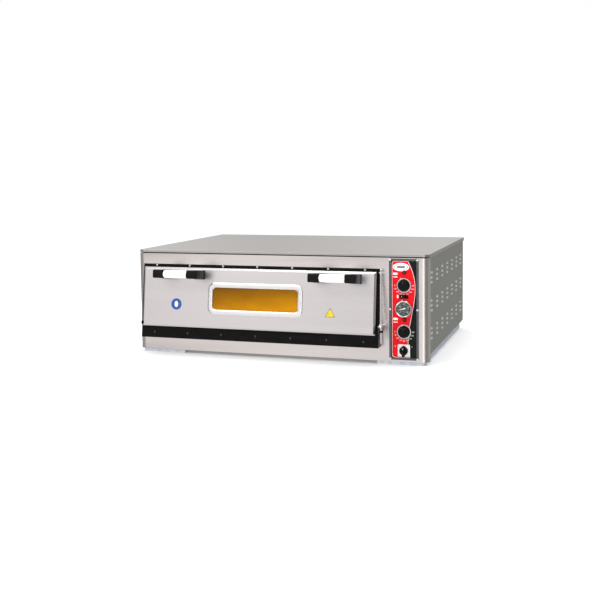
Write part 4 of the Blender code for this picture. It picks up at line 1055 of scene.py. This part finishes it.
def window_trim():
    """Bright pressed frame round the window, with a rounded crown."""
    up, width, height, wide, tall = 0.105, 0.350, 0.086, 0.020, 0.0045
    path = round_rect(width + wide, height + wide, 0.0185, (0, up), 10)

    def section(_):
        found = [(-0.0099, HINGE_OUT - DOOR_FACE - 0.0001)]
        for k in range(13):
            angle = math.pi * k / 12
            across = -math.cos(angle)
            crown = math.sin(angle) ** 0.45
            found.append((0.0099 * across, HINGE_OUT - DOOR_FACE - 0.0004 - tall * 0.92 * crown))
        found.append((0.0099, HINGE_OUT - DOOR_FACE - 0.0001))
        return found

    bm = bmesh.new()
    sweep(bm, path, section, DOOR)
    finish("window_trim", bm, TRIM_STEEL, "door", ["window_bezel"], sharp=60)


def door_decals():
    """Two plain coloured stickers, with no mark on them."""
    at = on_door(-0.331, 0.078)
    bm = bmesh.new()
    add_plate(bm, circle(0.0225), 0, 0.0002, at)
    finish("round_sticker", bm, BLUE_INK, "door")
    bm = bmesh.new()
    add_plate(bm, circle(0.0120, stretch=0.62), 0.0001, 0.0003, at)
    finish("round_sticker_centre", bm, WHITE_INK, "door")
    at = on_door(0.305, 0.062)
    for name, size, top, ink in (("corner_sticker_edge", 0.0185, 0.0002, GREY_INK),
                                 ("corner_sticker", 0.0150, 0.0003, YELLOW_INK)):
        corners = []
        for i in range(3):
            angle = 90 + 120 * i
            centre = (size * math.cos(math.radians(angle)), size * math.sin(math.radians(angle)))
            corners += arc_points(centre, 0.0030, angle - 60, angle + 60, 6)
        bm = bmesh.new()
        add_plate(bm, corners, 0, top, at)
        finish(name, bm, ink, "door")


def sweep(bm, path, section, matrix):
    """Carries a closed section round a closed path that lies in the XZ plane."""
    count = len(path)
    loops = []
    for i, point in enumerate(path):
        before, after = Vector(path[i - 1]), Vector(path[(i + 1) % count])
        along = (after - before).normalized()
        side = Vector((along.y, -along.x))
        loop = []
        for across, deep in section(i):
            spot = Vector(point) + side * across
            loop.append(bm.verts.new((spot.x, deep, spot.y)))
        loops.append(loop)
    size = len(loops[0])
    for i in range(count):
        j = (i + 1) % count
        for k in range(size):
            m = (k + 1) % size
            bm.faces.new((loops[i][k], loops[i][m], loops[j][m], loops[j][k]))
    bmesh.ops.transform(bm, matrix=matrix, verts=[vert for loop in loops for vert in loop])


def door_seal():
    """Woven rope pressed flat round the door's inner pan."""
    half, low, high, wide = 0.462, 0.015, 0.206, 0.0125
    outline = round_rect(2 * half - wide, high - low - wide, 0.010, (0, (low + high) / 2), 8)
    path = []
    for i, point in enumerate(outline):
        after = Vector(outline[(i + 1) % len(outline)])
        start = Vector(point)
        pieces = max(1, round((after - start).length / 0.004))
        path += [tuple(start.lerp(after, k / pieces)) for k in range(pieces)]

    def section(i):
        found = []
        for k in range(16):
            angle = 2 * math.pi * k / 16
            twist = 0.00035 * math.cos(3 * angle + i * 0.9)
            deep = HINGE_OUT - 0.0033 + (0.0025 + twist) * math.sin(angle)
            found.append(((0.0056 + twist) * math.cos(angle), deep))
        return found

    bm = bmesh.new()
    sweep(bm, path, section, DOOR)
    finish("door_rope_seal", bm, ROPE, "door", ["door_seal"], sharp=80)


# ---- balance rod ----


def rod_knob():
    """Thumb knob on the rod, and a collar on the rod below it."""
    low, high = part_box("rod_knob")
    centre = Vector(((low.x + high.x) / 2, high.y, (low.z + high.z) / 2))
    at = Matrix.Translation(centre) @ Matrix.Rotation(-LEAN, 4, "X") @ OUTWARD
    bm = bmesh.new()
    profile = [(0, 0.0128), (0.0030, 0.0126), (0.0050, 0.0112), (0.0058, 0.0092), (0.0055, 0.0074), (0.0038, 0.0056),
               (0.0030, 0.0044), (0.0030, 0.0004), (0, 0.0004)]
    add_lathe(bm, profile, 48, at)
    for side in (-1, 1):
        wing = arc_points((side * 0.0055, 0.0004), 0.0026, 0, 350, 24, 1.25)
        add_plate(bm, wing, 0.0078, 0.0108, at)
    finish("rod_thumb_knob", bm, CHROME, "balance_rod", ["rod_knob"])
    bm = bmesh.new()
    collar = [(0.0047, 0.004), (0.0072, 0.004), (0.0076, 0.0034), (0.0076, -0.0034), (0.0072, -0.004), (0.0047, -0.004),
              (0.0047, 0.004)]
    slide = Vector(JOINTS["balance_rod_slide"]["axis"])
    rest = centre + Vector((0, 0.0045, 0)) - slide * 0.019
    add_lathe(bm, collar, 48, Matrix.Translation(rest) @ slide.to_track_quat("Z", "Y").to_matrix().to_4x4())
    finish("rod_collar", bm, BLACK_PLASTIC, "balance_rod")


# ---- stage ----


def floor():
    """Plain pale floor, which the metal doesn't reflect."""
    bm = bmesh.new()
    bmesh.ops.create_circle(bm, cap_ends=True, radius=30, segments=96)
    mesh = bpy.data.meshes.new("floor")
    bm.to_mesh(mesh)
    bm.free()
    surface = new_material(
        "pale_floor", (0.93, 0.93, 0.93), 0.75, Emission_Strength=0.12, Specular_IOR_Level=0.0
    )
    shader_of(surface).inputs["Emission Color"].default_value = (1, 1, 1, 1)
    tone = noise(surface, (3, 3, 3), detail=5)
    colour_from(surface, blend(surface, tone, (0.925, 0.925, 0.925), (0.94, 0.94, 0.94)))
    mesh.materials.append(surface)
    made = bpy.data.objects.new("floor", mesh)
    made.location.z = cad_low.z - 0.0002
    made.visible_glossy = False
    bpy.context.scene.collection.objects.link(made)


def softbox(name, place, target, size, power):
    light = bpy.data.lights.new(name, "AREA")
    light.shape = "RECTANGLE"
    light.size, light.size_y = size
    light.energy = power
    made = bpy.data.objects.new(name, light)
    made.location = place
    made.rotation_euler = (Vector(target) - Vector(place)).to_track_quat("-Z", "Y").to_euler()
    bpy.context.scene.collection.objects.link(made)


# What the metal reflects in front and behind: (direction, tone) from far left, 0, to far right, 1.
FRONT_TONES = [
    (0.0, (0.30, 0.29, 0.28)), (0.18, (0.40, 0.38, 0.36)), (0.24, (0.82, 0.79, 0.77)),
    (0.29, (1.02, 0.99, 0.98)), (0.345, (1.06, 1.03, 1.03)), (0.38, (0.88, 0.86, 0.86)),
    (0.405, (0.56, 0.55, 0.54)), (0.44, (0.56, 0.55, 0.54)), (0.49, (1.0, 1.0, 1.0)),
    (0.58, (1.2, 1.2, 1.2)), (0.61, (1.8, 1.8, 1.8)), (0.68, (1.8, 1.8, 1.8)),
    (0.73, (0.32, 0.295, 0.27)), (0.85, (0.28, 0.255, 0.235)), (1.0, (0.24, 0.225, 0.21)),
]
REAR_TONES = [
    (0.0, (0.35, 0.34, 0.33)), (0.20, (0.50, 0.49, 0.48)), (0.27, (0.86, 0.85, 0.83)),
    (0.33, (0.62, 0.61, 0.60)), (0.41, (0.80, 0.78, 0.76)), (0.50, (0.72, 0.71, 0.70)),
    (0.56, (0.36, 0.36, 0.35)),
]


def studio():
    """White studio, whose walls show in the metal as a row of tones with one bright strip."""
    world = bpy.data.worlds.new("studio")
    bpy.context.scene.world = world
    world.use_nodes = True
    tree = world.node_tree
    back = tree.nodes["Background"]
    source = tree.nodes.new("ShaderNodeTexCoord")
    split = tree.nodes.new("ShaderNodeSeparateXYZ")
    tree.links.new(source.outputs["Generated"], split.inputs["Vector"])
    across = mapped(tree, split.outputs["X"], -1, 1)
    mix = tree.nodes.new("ShaderNodeMix")
    mix.data_type = "RGBA"
    tree.links.new(mapped(tree, split.outputs["Y"], -0.15, 0.25), mix.inputs["Factor"])
    tree.links.new(ramp(tree, across, FRONT_TONES), mix.inputs["A"])
    tree.links.new(ramp(tree, across, REAR_TONES), mix.inputs["B"])
    tree.links.new(mix.outputs["Result"], back.inputs["Color"])
    back.inputs["Strength"].default_value = 1.0
    white = tree.nodes.new("ShaderNodeBackground")
    white.inputs["Color"].default_value = (1, 1, 1, 1)
    path = tree.nodes.new("ShaderNodeLightPath")
    chosen = tree.nodes.new("ShaderNodeMixShader")
    tree.links.new(path.outputs["Is Glossy Ray"], chosen.inputs["Fac"])
    tree.links.new(white.outputs["Background"], chosen.inputs[1])
    tree.links.new(back.outputs["Background"], chosen.inputs[2])
    tree.links.new(chosen.outputs["Shader"], tree.nodes["World Output"].inputs["Surface"])
    softbox("key", (-2.2, -3.4, 3.4), (0, 0, 0.2), (2.2, 1.6), 70)
    softbox("top_fill", (0.3, 0.2, 3.6), (0, 0, 0), (3.0, 3.0), 60)
    bpy.context.scene.view_settings.view_transform = "Standard"


def camera():
    """Eye level a little above the oven, in front and to its right."""
    place = Vector((1.2157, -3.8106, 0.7409))
    turn, tip, roll = math.radians(18.36), math.radians(90 - 4.41), math.radians(-0.66)
    lens = bpy.data.cameras.new("camera")
    lens.sensor_width = 36
    lens.lens = 57.25
    lens.shift_y = -0.0946
    lens.clip_end = 200
    made = bpy.data.objects.new("camera", lens)
    bpy.context.scene.collection.objects.link(made)
    rotation = Matrix.Rotation(turn, 4, "Z") @ Matrix.Rotation(tip, 4, "X") @ Matrix.Rotation(roll, 4, "Z")
    made.matrix_world = Matrix.Translation(place) @ rotation
    bpy.context.scene.camera = made


dress_nodes()
louvred_panel()
mouth_screws()
control_frame_screws()
back_screws()
control_print()
pilot_lamps()
thermostat_knobs()
gauge()
rocker()
cam_switch()
handle(-1, "left")
handle(1, "right")
window_trim()
door_decals()
door_seal()
rod_knob()
floor()
studio()
camera()
